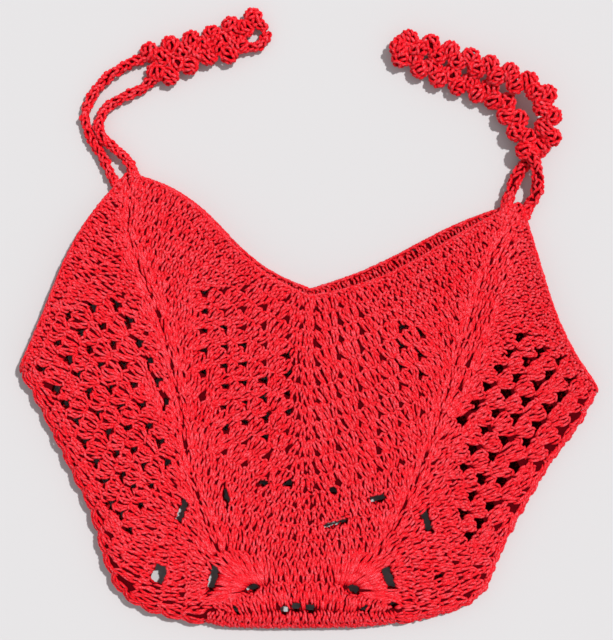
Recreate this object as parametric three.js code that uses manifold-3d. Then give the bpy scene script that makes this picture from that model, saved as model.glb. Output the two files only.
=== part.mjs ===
// Mesh market bag, crocheted in cotton yarn, lying on its back.
// Millimetres. X runs across the bag, Y from its base to its handles, Z up from the surface.
//
// The bag is one pouch, worked in rounds from the base to the mouth. Four corner lines divide
// it into a front, a back and two sides. Lying flat, each side is folded along its middle, and
// the corners are drawn up into two peaks. A doubled strand of puff stitches rises from each
// peak and makes a handle.

import * as THREE from 'three';
import { mergeGeometries, mergeVertices } from 'three/addons/utils/BufferGeometryUtils.js';
import Module from 'manifold-3d';

const wasm = await Module();
wasm.setup();

// Driving dimensions. The hollow between the two layers narrows towards the peaks, and both
// layers round over into each other near the fold.

const ROUNDS = 15;
const ROUND_HEIGHT = 11.8;
const WALL = 4.2;
const HOLLOW = 6.4;
const PEAK_HOLLOW = 1.6;
const PEAK_REACH = 60;
const FOLD_HEIGHT = 6.6;
const FOLD_REACH = 8;
const RIDGE = 0.7;
const SEAT_GAP = 0.35;

// Steps along the rounds, on the outer front and elsewhere, and points along the folds.

const FINE_STEP = 0.5;
const COARSE_STEP = 3;
const SIDE_FOLD_POINTS = 60;
const BASE_FOLD_POINTS = 30;
const MERGE_WITHIN = 1e-4;

// Gaps of the back's right side stand half a pitch off those in front of them.

const BACK_SHIFT = -0.5;
const FOLD_CLEARANCE = 6;
const MOST_GAPS = 300;

// Middle of the box around the whole bag, which becomes the origin.

const MIDDLE = { x: 1, y: 0.93 };

const YARN_RED = 0xd4142c;
const YARN_ROUGHNESS = 0.85;

// Corner lines and the line down the middle of the front, every third round from the base.

const LEFT_CORNER = guide([
  { round: 0, x: -62, y: -161 },
  { round: 3, x: -81, y: -109 },
  { round: 6, x: -90, y: -53 },
  { round: 9, x: -103, y: 1 },
  { round: 12, x: -123, y: 54 },
  { round: 15, x: -126, y: 102 },
]);

const RIGHT_CORNER = guide([
  { round: 0, x: 49, y: -164 },
  { round: 3, x: 75, y: -115 },
  { round: 6, x: 94, y: -63 },
  { round: 9, x: 109, y: -15 },
  { round: 12, x: 127, y: 38 },
  { round: 15, x: 149, y: 81 },
]);

const FRONT_MIDDLE = guide([
  { round: 0, x: -5, y: -168 },
  { round: 3, x: -3, y: -134 },
  { round: 6, x: -2, y: -99 },
  { round: 9, x: -1, y: -62 },
  { round: 12, x: 0, y: -23 },
  { round: 15, x: 2, y: 15 },
]);

const BACK_MIDDLE = guide([
  { round: 0, x: -5, y: -168 },
  { round: 3, x: -3, y: -134 },
  { round: 6, x: -2, y: -98 },
  { round: 9, x: -1, y: -59 },
  { round: 12, x: 0, y: -19 },
  { round: 15, x: 2, y: 20 },
]);

// Folded edges of the two sides, from the base to the mouth, and the fold along the base.

const LEFT_FOLD = edge([
  { x: -72, y: -213 },
  { x: -96, y: -208 },
  { x: -121, y: -199 },
  { x: -133, y: -188 },
  { x: -141, y: -171 },
  { x: -151, y: -136 },
  { x: -164, y: -108 },
  { x: -184, y: -67 },
  { x: -194, y: -48 },
  { x: -201, y: -36 },
]);

const RIGHT_FOLD = edge([
  { x: 63, y: -213 },
  { x: 76, y: -211 },
  { x: 99, y: -205 },
  { x: 114, y: -199 },
  { x: 126, y: -188 },
  { x: 133, y: -169 },
  { x: 149, y: -138 },
  { x: 169, y: -103 },
  { x: 194, y: -69 },
  { x: 203, y: -50 },
]);

const BASE_FOLD = edge([
  { x: -72, y: -213 },
  { x: -56, y: -216 },
  { x: -7, y: -217 },
  { x: 26, y: -216.5 },
  { x: 50, y: -215 },
  { x: 63, y: -213 },
]);

// Half panels. Each row of stitches runs from a corner line to a fold or to the middle. Bow and
// sway say how far it bends from a straight line, at the base and at the mouth.

const HALVES = {
  leftSide: {
    corner: LEFT_CORNER, far: LEFT_FOLD, backFar: LEFT_FOLD, turn: -1,
    baseBow: 7.7, mouthBow: 7.7, baseSway: 3.5, mouthSway: 2.1,
  },
  frontLeft: {
    corner: LEFT_CORNER, far: FRONT_MIDDLE, backFar: BACK_MIDDLE, turn: 1,
    baseBow: 0.5, mouthBow: 2, baseSway: 0.5, mouthSway: 6,
  },
  frontRight: {
    corner: RIGHT_CORNER, far: FRONT_MIDDLE, backFar: BACK_MIDDLE, turn: -1,
    baseBow: 0, mouthBow: -6.9, baseSway: 0, mouthSway: 2.5, backBow: 0,
  },
  rightSide: {
    corner: RIGHT_CORNER, far: RIGHT_FOLD, backFar: RIGHT_FOLD, turn: 1,
    baseBow: 5.5, mouthBow: -7.4, baseSway: 2, mouthSway: 1.4,
  },
};

// Gaps between the clusters of the two sides, row by row: where on the corner line the row lies,
// how far from that line its first gap is, the pitch of the gaps and how many there are. On the
// left the rows drift towards the mouth and the gaps spread on their way to the fold.

const LEFT_GAPS = { length: 7.6, width: 4.3, drift: 0.0098, driftFrom: 30, spread: 1.1 };

const LEFT_ROWS = [
  { round: 4.3, start: 20, pitch: 17, count: 4 },
  { round: 5.25, start: 24.5, pitch: 18.5, count: 4 },
  { round: 6.2, start: 13, pitch: 18, count: 5 },
  { round: 7.15, start: 15.5, pitch: 18, count: 5 },
  { round: 8.1, start: 19, pitch: 18, count: 5 },
  { round: 9.05, start: 22.5, pitch: 18, count: 5 },
  { round: 10, start: 26, pitch: 17.5, count: 5 },
  { round: 10.9, start: 29, pitch: 18, count: 5 },
  { round: 11.7, start: 51, pitch: 21, count: 4 },
  { round: 12.9, start: 85.5, pitch: 22, count: 3 },
];

const RIGHT_GAPS = { length: 6.8, width: 6.2, drift: 0, driftFrom: 0, spread: 0 };

const RIGHT_ROWS = [
  { round: 4.7, start: 55, pitch: 15, count: 2 },
  { round: 5.7, start: 39, pitch: 19.7, count: 3 },
  { round: 6.8, start: 23.4, pitch: 20.8, count: 4 },
  { round: 8.1, start: 31.8, pitch: 19.2, count: 5 },
  { round: 9.25, start: 38.4, pitch: 20, count: 4 },
  { round: 10.45, start: 47.9, pitch: 18, count: 5 },
  { round: 11.4, start: 53.3, pitch: 18.2, count: 5 },
  { round: 12.35, start: 58.2, pitch: 17.8, count: 5 },
  { round: 13.25, start: 82.8, pitch: 16.8, count: 4 },
  { round: 14.05, start: 101, pitch: 16.8, count: 3 },
];

// Gaps of the front stand in columns. Only the columns with gaps over 4 mm are listed.

const COLUMN_PITCH = 15.4;
const COLUMN_MIDDLE = 2;
const COLUMN_GAP = { length: 5, width: 4.4 };

const FRONT_COLUMNS = [
  { half: 'frontLeft', column: -5, from: 7, to: 11 },
  { half: 'frontLeft', column: -4, from: 5, to: 10 },
  { half: 'frontLeft', column: -3, from: 6, to: 10 },
  { half: 'frontLeft', column: -2, from: 6, to: 9 },
  { half: 'frontLeft', column: -1, from: 8, to: 11 },
  { half: 'frontRight', column: 4, from: 9, to: 12 },
  { half: 'frontRight', column: 5, from: 8, to: 11 },
];

// Longer slots, where the shells of the base spread apart.

const SLOTS = [
  { x: -88, y: -134, length: 17, width: 4.2, angle: 67 },
  { x: -104, y: -178, length: 15, width: 9, angle: 70 },
  { x: -66, y: -180, length: 18, width: 4.6, angle: 75 },
  { x: -57, y: -125, length: 13, width: 4.1, angle: 102 },
  { x: -39, y: -188, length: 8, width: 4.4, angle: 30 },
  { x: 20, y: -142, length: 19, width: 4.1, angle: 19 },
  { x: 49, y: -125, length: 10, width: 4.1, angle: 12 },
  { x: 32, y: -189, length: 7, width: 7, angle: 0 },
  { x: 57, y: -181, length: 17, width: 5, angle: 108 },
  { x: 83, y: -140, length: 18, width: 4.4, angle: 107 },
  { x: -31, y: -114, length: 5, width: 4.4, angle: 0 },
  { x: -14, y: -114, length: 5, width: 4.4, angle: 0 },
  { x: 18, y: -119, length: 5, width: 4.4, angle: 0 },
  { x: 91, y: -180, length: 5, width: 5, angle: 60 },
  { x: -71, y: -199, length: 5, width: 5, angle: 0 },
  { x: -49, y: -203, length: 5, width: 5, angle: 0 },
  { x: -16, y: -203, length: 5, width: 5, angle: 0 },
  { x: -8, y: -201, length: 5, width: 5, angle: 0 },
  { x: 2, y: -202, length: 5, width: 5, angle: 0 },
  { x: 40, y: -202, length: 5, width: 5, angle: 0 },
  { x: 61, y: -198, length: 5, width: 5, angle: 0 },
];

// Handles. Each strand is a cord along its own line, with puff stitches to either side of one
// stretch. The strands of a handle join at its tip.

const PUFF = { radius: 5.8, height: 5.2, step: 7.4, offset: 3.2, sides: 7, rings: 4 };
const CORD_SIDES = 8;
const CORD_STEP = 7;

const STRANDS = {
  left_handle: [
    {
      cord: 3.4, puffFrom: 0.6, puffTo: 0.95,
      line: [
        { x: -128, y: 88, z: 5 },
        { x: -133, y: 94, z: 5 },
        { x: -139, y: 103, z: 4.4 },
        { x: -145, y: 116, z: 3.9 },
        { x: -152, y: 128, z: 3.6 },
        { x: -157, y: 142, z: 4.2 },
        { x: -154, y: 154, z: 3.6 },
        { x: -144, y: 168, z: 3.5 },
        { x: -127, y: 180, z: 3.5 },
        { x: -110, y: 186, z: 4.4 },
        { x: -94, y: 191, z: 5.4 },
        { x: -78, y: 195, z: 5.4 },
        { x: -63, y: 199, z: 5.4 },
        { x: -51, y: 205, z: 5.4 },
        { x: -38, y: 210, z: 5.2 },
        { x: -29, y: 205, z: 4 },
      ],
    },
    {
      cord: 3.4, puffFrom: 0.56, puffTo: 0.87,
      line: [
        { x: -117, y: 94, z: 5.4 },
        { x: -122, y: 103, z: 5.6 },
        { x: -127, y: 113, z: 6.2 },
        { x: -136, y: 121, z: 7 },
        { x: -144, y: 128, z: 7.4 },
        { x: -147, y: 138, z: 6.4 },
        { x: -143, y: 148, z: 4.6 },
        { x: -132, y: 156, z: 3.6 },
        { x: -117, y: 163, z: 3.8 },
        { x: -107, y: 171, z: 5.4 },
        { x: -95, y: 176, z: 5.6 },
        { x: -81, y: 184, z: 5.6 },
        { x: -69, y: 189, z: 5.6 },
        { x: -56, y: 190, z: 5.4 },
        { x: -44, y: 192, z: 4.4 },
        { x: -33, y: 194, z: 3.6 },
        { x: -28, y: 203, z: 3.8 },
      ],
    },
  ],
  right_handle: [
    {
      cord: 4.2, puffFrom: 0.3, puffTo: 1,
      line: [
        { x: 152, y: 72, z: 5.2 },
        { x: 155, y: 80, z: 6 },
        { x: 161, y: 89, z: 8 },
        { x: 161, y: 103, z: 11 },
        { x: 158, y: 113, z: 13 },
        { x: 152, y: 126, z: 11 },
        { x: 145, y: 141, z: 9 },
        { x: 137, y: 152, z: 7 },
        { x: 129, y: 160, z: 6 },
        { x: 118, y: 163, z: 5.8 },
        { x: 106, y: 168, z: 5.8 },
        { x: 93, y: 173, z: 5.8 },
        { x: 81, y: 179, z: 5.8 },
        { x: 70, y: 184, z: 6.2 },
        { x: 64, y: 192, z: 8 },
      ],
    },
    {
      cord: 4.2, puffFrom: 0.28, puffTo: 1,
      line: [
        { x: 138, y: 75, z: 5.4 },
        { x: 141, y: 84, z: 7 },
        { x: 145, y: 95, z: 6 },
        { x: 151, y: 107, z: 5.2 },
        { x: 160, y: 115, z: 5.4 },
        { x: 167, y: 122, z: 9 },
        { x: 168, y: 134, z: 14 },
        { x: 167, y: 147, z: 17 },
        { x: 162, y: 160, z: 17 },
        { x: 151, y: 165, z: 15 },
        { x: 137, y: 172, z: 13 },
        { x: 122, y: 178, z: 11 },
        { x: 107, y: 184, z: 9 },
        { x: 92, y: 189, z: 8 },
        { x: 76, y: 194, z: 8.4 },
        { x: 64, y: 194, z: 9 },
      ],
    },
  ],
};

// Lines

function guide(rows) {
  const points = rows.map((row) => new THREE.Vector3(row.x, row.y, 0));
  const curve = new THREE.CatmullRomCurve3(points, false, 'catmullrom', 0.5);
  return (round) => beyondMouth((r) => curve.getPoint(r / ROUNDS), round);
}

function edge(rows) {
  const points = rows.map((row) => new THREE.Vector3(row.x, row.y, 0));
  const curve = new THREE.CatmullRomCurve3(points, false, 'centripetal');
  const at = (round) => beyondMouth((r) => curve.getPointAt(r / ROUNDS), round);
  at.curve = curve;
  return at;
}

function beyondMouth(at, round) {
  if (round <= ROUNDS) return at(round);
  const last = at(ROUNDS);
  const step = last.clone().sub(at(ROUNDS - 1));
  return last.addScaledVector(step, round - ROUNDS);
}

// A place on a half panel: along runs from 0 at the corner line to 1 at the fold or middle.

function place(half, along, round, back = false) {
  const start = half.corner(round);
  const end = (back ? half.backFar : half.far)(round);
  const chord = end.clone().sub(start);
  const outward = new THREE.Vector3(-chord.y, chord.x, 0).normalize().multiplyScalar(half.turn);
  const rise = Math.min(round / ROUNDS, 1);
  const mouthBow = back && half.backBow !== undefined ? half.backBow : half.mouthBow;
  const bow = THREE.MathUtils.lerp(half.baseBow, mouthBow, rise);
  const sway = THREE.MathUtils.lerp(half.baseSway, half.mouthSway, rise);
  const bend = bow * Math.sin(Math.PI * along) + sway * Math.sin(2 * Math.PI * along);
  return start.addScaledVector(chord, along).addScaledVector(outward, bend);
}

function rowLength(half, round) {
  return half.corner(round).distanceTo(half.far(round));
}

// Depth of the pouch

const FOLD_POINTS = [
  ...LEFT_FOLD.curve.getSpacedPoints(SIDE_FOLD_POINTS).reverse(),
  ...BASE_FOLD.curve.getSpacedPoints(BASE_FOLD_POINTS),
  ...RIGHT_FOLD.curve.getSpacedPoints(SIDE_FOLD_POINTS),
];

function foldDistance(point) {
  const line = new THREE.Line3();
  const nearest = new THREE.Vector3();
  let best = Infinity;
  for (let i = 1; i < FOLD_POINTS.length; i += 1) {
    line.set(FOLD_POINTS[i - 1], FOLD_POINTS[i]).closestPointToPoint(point, true, nearest);
    best = Math.min(best, nearest.distanceTo(point));
  }
  return best;
}

function roundOver(distance) {
  const inside = 1 - Math.min(distance / FOLD_REACH, 1);
  return Math.sqrt(1 - inside * inside);
}

function hollowAt(point) {
  const left = point.distanceTo(LEFT_CORNER(ROUNDS));
  const right = point.distanceTo(RIGHT_CORNER(ROUNDS));
  const away = THREE.MathUtils.smoothstep(Math.min(left, right), 0, PEAK_REACH);
  return THREE.MathUtils.lerp(PEAK_HOLLOW, HOLLOW, away);
}

function skinHeight(point, skin, round) {
  const flat = { x: point.x, y: point.y, z: 0 };
  const over = foldDistance(flat);
  const top = 2 * WALL + hollowAt(point);
  const ridge = -0.5 * RIDGE * Math.cos(2 * Math.PI * round);
  const level = {
    frontOuter: top + ridge,
    frontInner: top - WALL,
    backInner: WALL,
    backOuter: 0,
  }[skin];
  const outer = skin.endsWith('Outer');
  const share = roundOver(outer ? over : Math.max(over - WALL, 0));
  return THREE.MathUtils.lerp(FOLD_HEIGHT, level, share);
}

// Skins. A skin is a net of columns, one for each station along the rows, and the base below
// round 0 is filled with a patch between four lines. The patch has no ridges: its points are
// given the height of a place a quarter of the way up a round, where the ridge is nil.

const OUTER_FOLD_STEPS = [8.5, 3.6, 1.2, 0];
const INNER_FOLD_STEPS = [WALL + 8.5, WALL + 1.6, WALL];
const SIDE_STATIONS = [0, 0.18, 0.36, 0.54, 0.72];
const FRONT_STATIONS = [0.2, 0.4, 0.6, 0.8];
const LEVEL_ROUND = 0.25;

function sideStations(name, foldSteps) {
  const half = HALVES[name];
  return [
    ...SIDE_STATIONS.map((share) => ({ half, along: () => share })),
    ...foldSteps.map((step) => ({
      half,
      along: (round) => 1 - step / rowLength(half, round),
      nearFold: true,
      onFold: step === foldSteps.at(-1),
    })),
  ];
}

function frontStations(name) {
  return FRONT_STATIONS.map((share) => ({ half: HALVES[name], along: () => share }));
}

function stationsOf(skin) {
  const foldSteps = skin.endsWith('Outer') ? OUTER_FOLD_STEPS : INNER_FOLD_STEPS;
  return [
    ...sideStations('leftSide', foldSteps).reverse(),
    ...frontStations('frontLeft'),
    { half: HALVES.frontLeft, along: () => 1 },
    ...frontStations('frontRight').reverse(),
    ...sideStations('rightSide', foldSteps),
  ];
}

function skinColumn(skin, station) {
  const back = skin.startsWith('back');
  const fine = skin === 'frontOuter' || (skin === 'backOuter' && station.nearFold);
  const rounds = stepRounds(fine ? FINE_STEP : COARSE_STEP);
  return rounds.map((round) => {
    const point = place(station.half, station.along(round), round, back);
    point.z = station.onFold ? FOLD_HEIGHT : skinHeight(point, skin, round);
    return point;
  });
}

function baseFoldPoint(share, inset) {
  const point = BASE_FOLD.curve.getPointAt(share);
  const along = BASE_FOLD.curve.getTangentAt(share);
  return point.addScaledVector(new THREE.Vector3(-along.y, along.x, 0), inset);
}

function basePatch(skin, firstRow) {
  const steps = skin.endsWith('Outer') ? OUTER_FOLD_STEPS : INNER_FOLD_STEPS;
  const sides = SIDE_STATIONS.length + steps.length;
  const left = firstRow.slice(0, sides);
  const top = firstRow.slice(sides - 1, firstRow.length - sides + 1);
  const right = firstRow.slice(firstRow.length - sides).reverse();
  const inset = skin.endsWith('Outer') ? 0 : WALL;
  const bottom = top.map((_, i) => baseFoldPoint(i / (top.length - 1), inset));
  bottom[0] = left[0];
  bottom[bottom.length - 1] = right[0];
  const patch = [];
  for (let j = 0; j < sides; j += 1) {
    const v = left[0].distanceTo(left[j]) / left[0].distanceTo(left[sides - 1]);
    patch.push(top.map((_, i) => {
      const u = i / (top.length - 1);
      const point = coons({ left: left[j], right: right[j], bottom: bottom[i], top: top[i] },
        { bottomLeft: bottom[0], bottomRight: right[0], topLeft: top[0], topRight: top.at(-1) },
        u, v);
      const onRow = i === 0 || i === top.length - 1 || j === sides - 1;
      if (j === 0) point.z = FOLD_HEIGHT;
      else if (!onRow) point.z = skinHeight(point, skin, LEVEL_ROUND);
      return point;
    }));
  }
  return patch;
}

function coons(edges, corners, u, v) {
  const across = edges.left.clone().lerp(edges.right, u);
  const up = edges.bottom.clone().lerp(edges.top, v);
  const low = corners.bottomLeft.clone().lerp(corners.bottomRight, u);
  const high = corners.topLeft.clone().lerp(corners.topRight, u);
  return across.add(up).sub(low.lerp(high, v));
}

// Triangles between two lines of points, which may hold different numbers of them.

function strip(corners, lower, upper, flip) {
  let i = 0;
  let j = 0;
  while (i < lower.length - 1 || j < upper.length - 1) {
    const nextLower = (i + 1) / (lower.length - 1);
    const nextUpper = (j + 1) / (upper.length - 1);
    const stepLower = j === upper.length - 1 || (i < lower.length - 1 && nextLower <= nextUpper);
    const third = stepLower ? lower[i + 1] : upper[j + 1];
    const triangle = [lower[i], third, upper[j]];
    if (flip) triangle.reverse();
    corners.push(...triangle);
    if (stepLower) i += 1;
    else j += 1;
  }
}

function addNet(corners, lines, flip) {
  for (let i = 1; i < lines.length; i += 1) {
    strip(corners, lines[i - 1], lines[i], flip);
  }
}

function stepRounds(step) {
  const rounds = [];
  for (let round = 0; round <= ROUNDS; round += step) rounds.push(round);
  return rounds;
}

function solidFrom(corners) {
  const positions = corners.flatMap((point) => [point.x, point.y, point.z]);
  const geometry = new THREE.BufferGeometry();
  geometry.setAttribute('position', new THREE.Float32BufferAttribute(positions, 3));
  return toManifold(geometry);
}

// Solids and meshes

function toManifold(geometry) {
  const bare = geometry.clone();
  bare.deleteAttribute('normal');
  bare.deleteAttribute('uv');
  const merged = mergeVertices(bare, MERGE_WITHIN);
  return new wasm.Manifold(new wasm.Mesh({
    numProp: 3,
    vertProperties: merged.attributes.position.array,
    triVerts: new Uint32Array(merged.index.array),
  }));
}

function toMesh(name, solid) {
  const { vertProperties, triVerts } = solid.getMesh();
  const geometry = new THREE.BufferGeometry();
  geometry.setAttribute('position', new THREE.Float32BufferAttribute(vertProperties, 3));
  geometry.setIndex(Array.from(triVerts));
  geometry.computeVertexNormals();
  const material = new THREE.MeshStandardMaterial({ color: YARN_RED, roughness: YARN_ROUGHNESS });
  const mesh = new THREE.Mesh(geometry, material);
  mesh.name = name;
  return mesh;
}

// The pouch, before its gaps are cut. The outer front has two steps a round, for the ridges.

function makePouch() {
  const corners = [];
  const mouths = {};
  for (const skin of ['frontOuter', 'frontInner', 'backInner', 'backOuter']) {
    const facesUp = skin === 'frontOuter' || skin === 'backInner';
    const columns = stationsOf(skin).map((station) => skinColumn(skin, station));
    addNet(corners, columns, facesUp);
    addNet(corners, basePatch(skin, columns.map((column) => column[0])), !facesUp);
    mouths[skin] = columns.map((column) => column.at(-1));
  }
  strip(corners, mouths.frontOuter, mouths.frontInner, false);
  strip(corners, mouths.backOuter, mouths.backInner, true);
  return solidFrom(corners);
}

// Gaps, each a four-sided hole straight through, with its length along its own row.

const ROW_STEP = 0.02;

function gapPrism(gap, low, high) {
  const geometry = new THREE.BoxGeometry(gap.length, gap.width, high - low);
  geometry.rotateZ(gap.angle);
  geometry.translate(gap.x, gap.y, (low + high) / 2);
  return geometry;
}

function gapOnRow(halfName, along, round, size) {
  const half = HALVES[halfName];
  const here = place(half, along, round);
  const next = place(half, along + ROW_STEP, round);
  const angle = Math.atan2(next.y - here.y, next.x - here.x);
  return { x: here.x, y: here.y, angle, length: size.length, width: size.width };
}

function sideGaps(halfName, rows, gaps, shift) {
  const cuts = [];
  for (const row of rows) {
    for (let i = 0; i < row.count; i += 1) {
      const reach = row.start + row.pitch * (i + shift) + gaps.spread * i * i;
      const round = row.round + gaps.drift * Math.max(reach - gaps.driftFrom, 0);
      const along = reach / rowLength(HALVES[halfName], round);
      cuts.push(gapOnRow(halfName, along, round, gaps));
    }
  }
  return cuts.filter(awayFromFolds);
}

function columnGaps() {
  const gaps = [];
  for (const { half, column, from, to } of FRONT_COLUMNS) {
    for (let round = from; round <= to; round += 1) {
      const near = HALVES[half].corner(round + 0.5).x;
      const far = HALVES[half].far(round + 0.5).x;
      const x = COLUMN_MIDDLE + column * COLUMN_PITCH;
      gaps.push(gapOnRow(half, (x - near) / (far - near), round + 0.5, COLUMN_GAP));
    }
  }
  return gaps;
}

function slotGaps() {
  return SLOTS.map((slot) => ({ ...slot, angle: THREE.MathUtils.degToRad(slot.angle) }));
}

function awayFromFolds(gap) {
  const reach = gap.length / 2 + FOLD_CLEARANCE;
  return foldDistance(new THREE.Vector3(gap.x, gap.y, 0)) > reach;
}

function cutGaps(pouch) {
  const top = 2 * WALL + HOLLOW + RIDGE;
  const through = [
    ...sideGaps('leftSide', LEFT_ROWS, LEFT_GAPS, 0),
    ...columnGaps(),
    ...slotGaps(),
  ].map((gap) => gapPrism(gap, -1, top + 1));
  const front = sideGaps('rightSide', RIGHT_ROWS, RIGHT_GAPS, 0)
    .map((gap) => gapPrism(gap, FOLD_HEIGHT, top + 1));
  const back = sideGaps('rightSide', RIGHT_ROWS, RIGHT_GAPS, BACK_SHIFT)
    .map((gap) => gapPrism(gap, -1, FOLD_HEIGHT));
  const layers = 2 * through.length + front.length + back.length;
  if (layers > MOST_GAPS) throw new Error('too many gaps: ' + layers);
  return pouch.subtract(toManifold(mergeGeometries([...through, ...front, ...back])));
}

// Handles

function strandLine(strand) {
  const points = strand.line.map((row) => new THREE.Vector3(row.x, row.y, row.z));
  return new THREE.CatmullRomCurve3(points, false, 'centripetal');
}

function makeCord(strand, from, to) {
  const whole = strandLine(strand);
  const steps = Math.round(((to - from) * whole.getLength()) / CORD_STEP);
  const points = [];
  for (let i = 0; i <= steps; i += 1) {
    points.push(whole.getPointAt(THREE.MathUtils.lerp(from, to, i / steps)));
  }
  const shape = new THREE.Shape();
  for (let i = 0; i < CORD_SIDES; i += 1) {
    const angle = (2 * Math.PI * i) / CORD_SIDES;
    const point = [strand.cord * Math.cos(angle), strand.cord * Math.sin(angle)];
    if (i === 0) shape.moveTo(...point);
    else shape.lineTo(...point);
  }
  const extrudePath = new THREE.CatmullRomCurve3(points, false, 'centripetal');
  return new THREE.ExtrudeGeometry(shape, { steps, extrudePath, bevelEnabled: false });
}

function makePuffs(strand) {
  const line = strandLine(strand);
  const stretch = (strand.puffTo - strand.puffFrom) * line.getLength();
  const count = Math.round(stretch / PUFF.step);
  const puffs = [];
  for (let i = 0; i <= count; i += 1) {
    const share = THREE.MathUtils.lerp(strand.puffFrom, strand.puffTo, i / count);
    const middle = line.getPointAt(share);
    const along = line.getTangentAt(share);
    const aside = new THREE.Vector3(-along.y, along.x, 0).normalize();
    middle.addScaledVector(aside, i % 2 === 0 ? PUFF.offset : -PUFF.offset);
    const puff = new THREE.SphereGeometry(PUFF.radius, PUFF.sides, PUFF.rings);
    puff.rotateX(Math.PI / 2);
    puff.scale(1, 1, PUFF.height / PUFF.radius);
    puff.translate(middle.x, middle.y, Math.max(middle.z, PUFF.height));
    puffs.push(puff);
  }
  return puffs;
}

// The handle ends are cut to the line of the mouth, a small gap outside it.

const SEAT_HEIGHT = 40;
const SEAT_STATIONS = [0.1, 0.2, 0.4, 0.6, 0.8, 1];

function seatLine(halfName) {
  const seat = ROUNDS + SEAT_GAP / ROUND_HEIGHT;
  return SEAT_STATIONS.map((along) => place(HALVES[halfName], along, seat, true));
}

function seatBlock() {
  const seat = ROUNDS + SEAT_GAP / ROUND_HEIGHT;
  const shape = new THREE.Shape();
  const outline = [
    ...seatLine('leftSide').reverse(),
    LEFT_CORNER(seat),
    ...seatLine('frontLeft'),
    ...seatLine('frontRight').reverse().slice(1),
    RIGHT_CORNER(seat),
    ...seatLine('rightSide'),
    BASE_FOLD.curve.getPointAt(0.5),
  ];
  outline.forEach((point, i) => {
    if (i === 0) shape.moveTo(point.x, point.y);
    else shape.lineTo(point.x, point.y);
  });
  const block = new THREE.ExtrudeGeometry(shape, { depth: 2 * SEAT_HEIGHT, bevelEnabled: false });
  return toManifold(block.translate(0, 0, -SEAT_HEIGHT));
}

function makeHandle(strands, seat) {
  let handle = null;
  for (const strand of strands) {
    const pieces = [makeCord(strand, 0, strand.puffFrom), ...makePuffs(strand)];
    if (strand.puffTo < 1) pieces.push(makeCord(strand, strand.puffTo, 1));
    for (const piece of pieces) {
      const solid = toManifold(piece);
      handle = handle ? handle.add(solid) : solid;
    }
  }
  return handle.subtract(seat);
}

const bag = cutGaps(makePouch());
const seat = seatBlock();
const group = new THREE.Group();
group.add(toMesh('bag', bag));
for (const [name, strands] of Object.entries(STRANDS)) {
  group.add(toMesh(name, makeHandle(strands, seat)));
}
group.position.set(-MIDDLE.x, -MIDDLE.y, 0);

export default group;
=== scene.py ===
# %% [markdown]
# # A crocheted market bag
# The bag is a pouch of red cotton yarn, worked in rounds from an oval base to a wide mouth. It
# lies on its back, its sides folded, and a bobbled handle rises from each of its two peaks.
# The lesson builds it the way it was made: one yarn stitch is modelled, and rules lay it down
# row by row, so the open mesh comes from where the stitches are and not from a picture.

# %% Load the frame
import math
import bmesh
import bpy
import numpy as np
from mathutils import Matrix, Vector


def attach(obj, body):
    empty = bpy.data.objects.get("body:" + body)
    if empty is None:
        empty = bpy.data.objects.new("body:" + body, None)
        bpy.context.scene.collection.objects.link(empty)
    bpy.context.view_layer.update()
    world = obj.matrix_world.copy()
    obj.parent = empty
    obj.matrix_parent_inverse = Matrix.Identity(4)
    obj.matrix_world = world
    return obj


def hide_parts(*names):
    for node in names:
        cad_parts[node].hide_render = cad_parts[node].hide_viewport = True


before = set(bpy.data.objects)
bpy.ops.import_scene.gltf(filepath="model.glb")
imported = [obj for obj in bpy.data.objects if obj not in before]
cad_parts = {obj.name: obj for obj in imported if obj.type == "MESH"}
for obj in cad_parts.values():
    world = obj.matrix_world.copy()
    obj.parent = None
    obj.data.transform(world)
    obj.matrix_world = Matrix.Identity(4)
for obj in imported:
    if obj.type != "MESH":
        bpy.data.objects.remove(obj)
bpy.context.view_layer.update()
# the script works in millimetres, Blender in metres
MM = 0.001
# every random number comes from this one seeded source
rng = np.random.default_rng(7)

# %% [markdown]
# ## The plan of the bag
# Before any yarn is laid, the script needs a map: where the four corner lines, the folded sides
# and the middle of the front run. Each is a smooth curve through a few places, measured in
# millimetres. The corner lines give a place for every round, from 0 at the base to 15 at the
# mouth, and a row of stitches runs from a corner line to a fold or to the middle.

# %% Smooth lines through a few places
ROUNDS = 15
# the middle of the box around the bag, which is the origin of the model
MIDDLE = np.array([1.0, 0.93])


def curve_through(places, evenness, steps=40):
    """Points on a smooth curve. Evenness 0.5 keeps it from looping where places are uneven."""
    p = np.array(places, float)
    p = np.vstack([2 * p[0] - p[1], p, 2 * p[-1] - p[-2]])
    w = np.linspace(0, 1, steps, endpoint=False)[:, None]
    parts = []
    # each part runs from b to c, and leaves and arrives in step with the parts beside it
    for a, b, c, d in zip(p, p[1:], p[2:], p[3:]):
        before, across, after = (np.linalg.norm(v) ** evenness for v in (b - a, c - b, d - c))
        leave = across * ((b - a) / before - (c - a) / (before + across) + (c - b) / across)
        arrive = across * ((c - b) / across - (d - b) / (across + after) + (d - c) / after)
        square, cube = 3 * (c - b) - 2 * leave - arrive, 2 * (b - c) + leave + arrive
        parts.append(b + leave * w + square * w**2 + cube * w**3)
    return np.vstack(parts + [p[-2][None]])


def run_along(points):
    """How far each point of a chain is from its start, along the chain."""
    return np.append(0, np.cumsum(np.linalg.norm(np.diff(points, axis=0), axis=1)))


def read_off(values, run, at):
    """The values of a chain at places along its run."""
    return np.stack([np.interp(at, run, column) for column in values.T], -1)


class Line:
    """A curve on the plan. A round of 0 is its start and a round of 15 its end."""

    def __init__(self, places, by_length=False):
        self.points = curve_through(places, 0.5 if by_length else 0)
        run = run_along(self.points) if by_length else np.arange(len(self.points))
        self.rounds = run / run[-1] * ROUNDS

    def at(self, rounds):
        return read_off(self.points, self.rounds, rounds)


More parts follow.
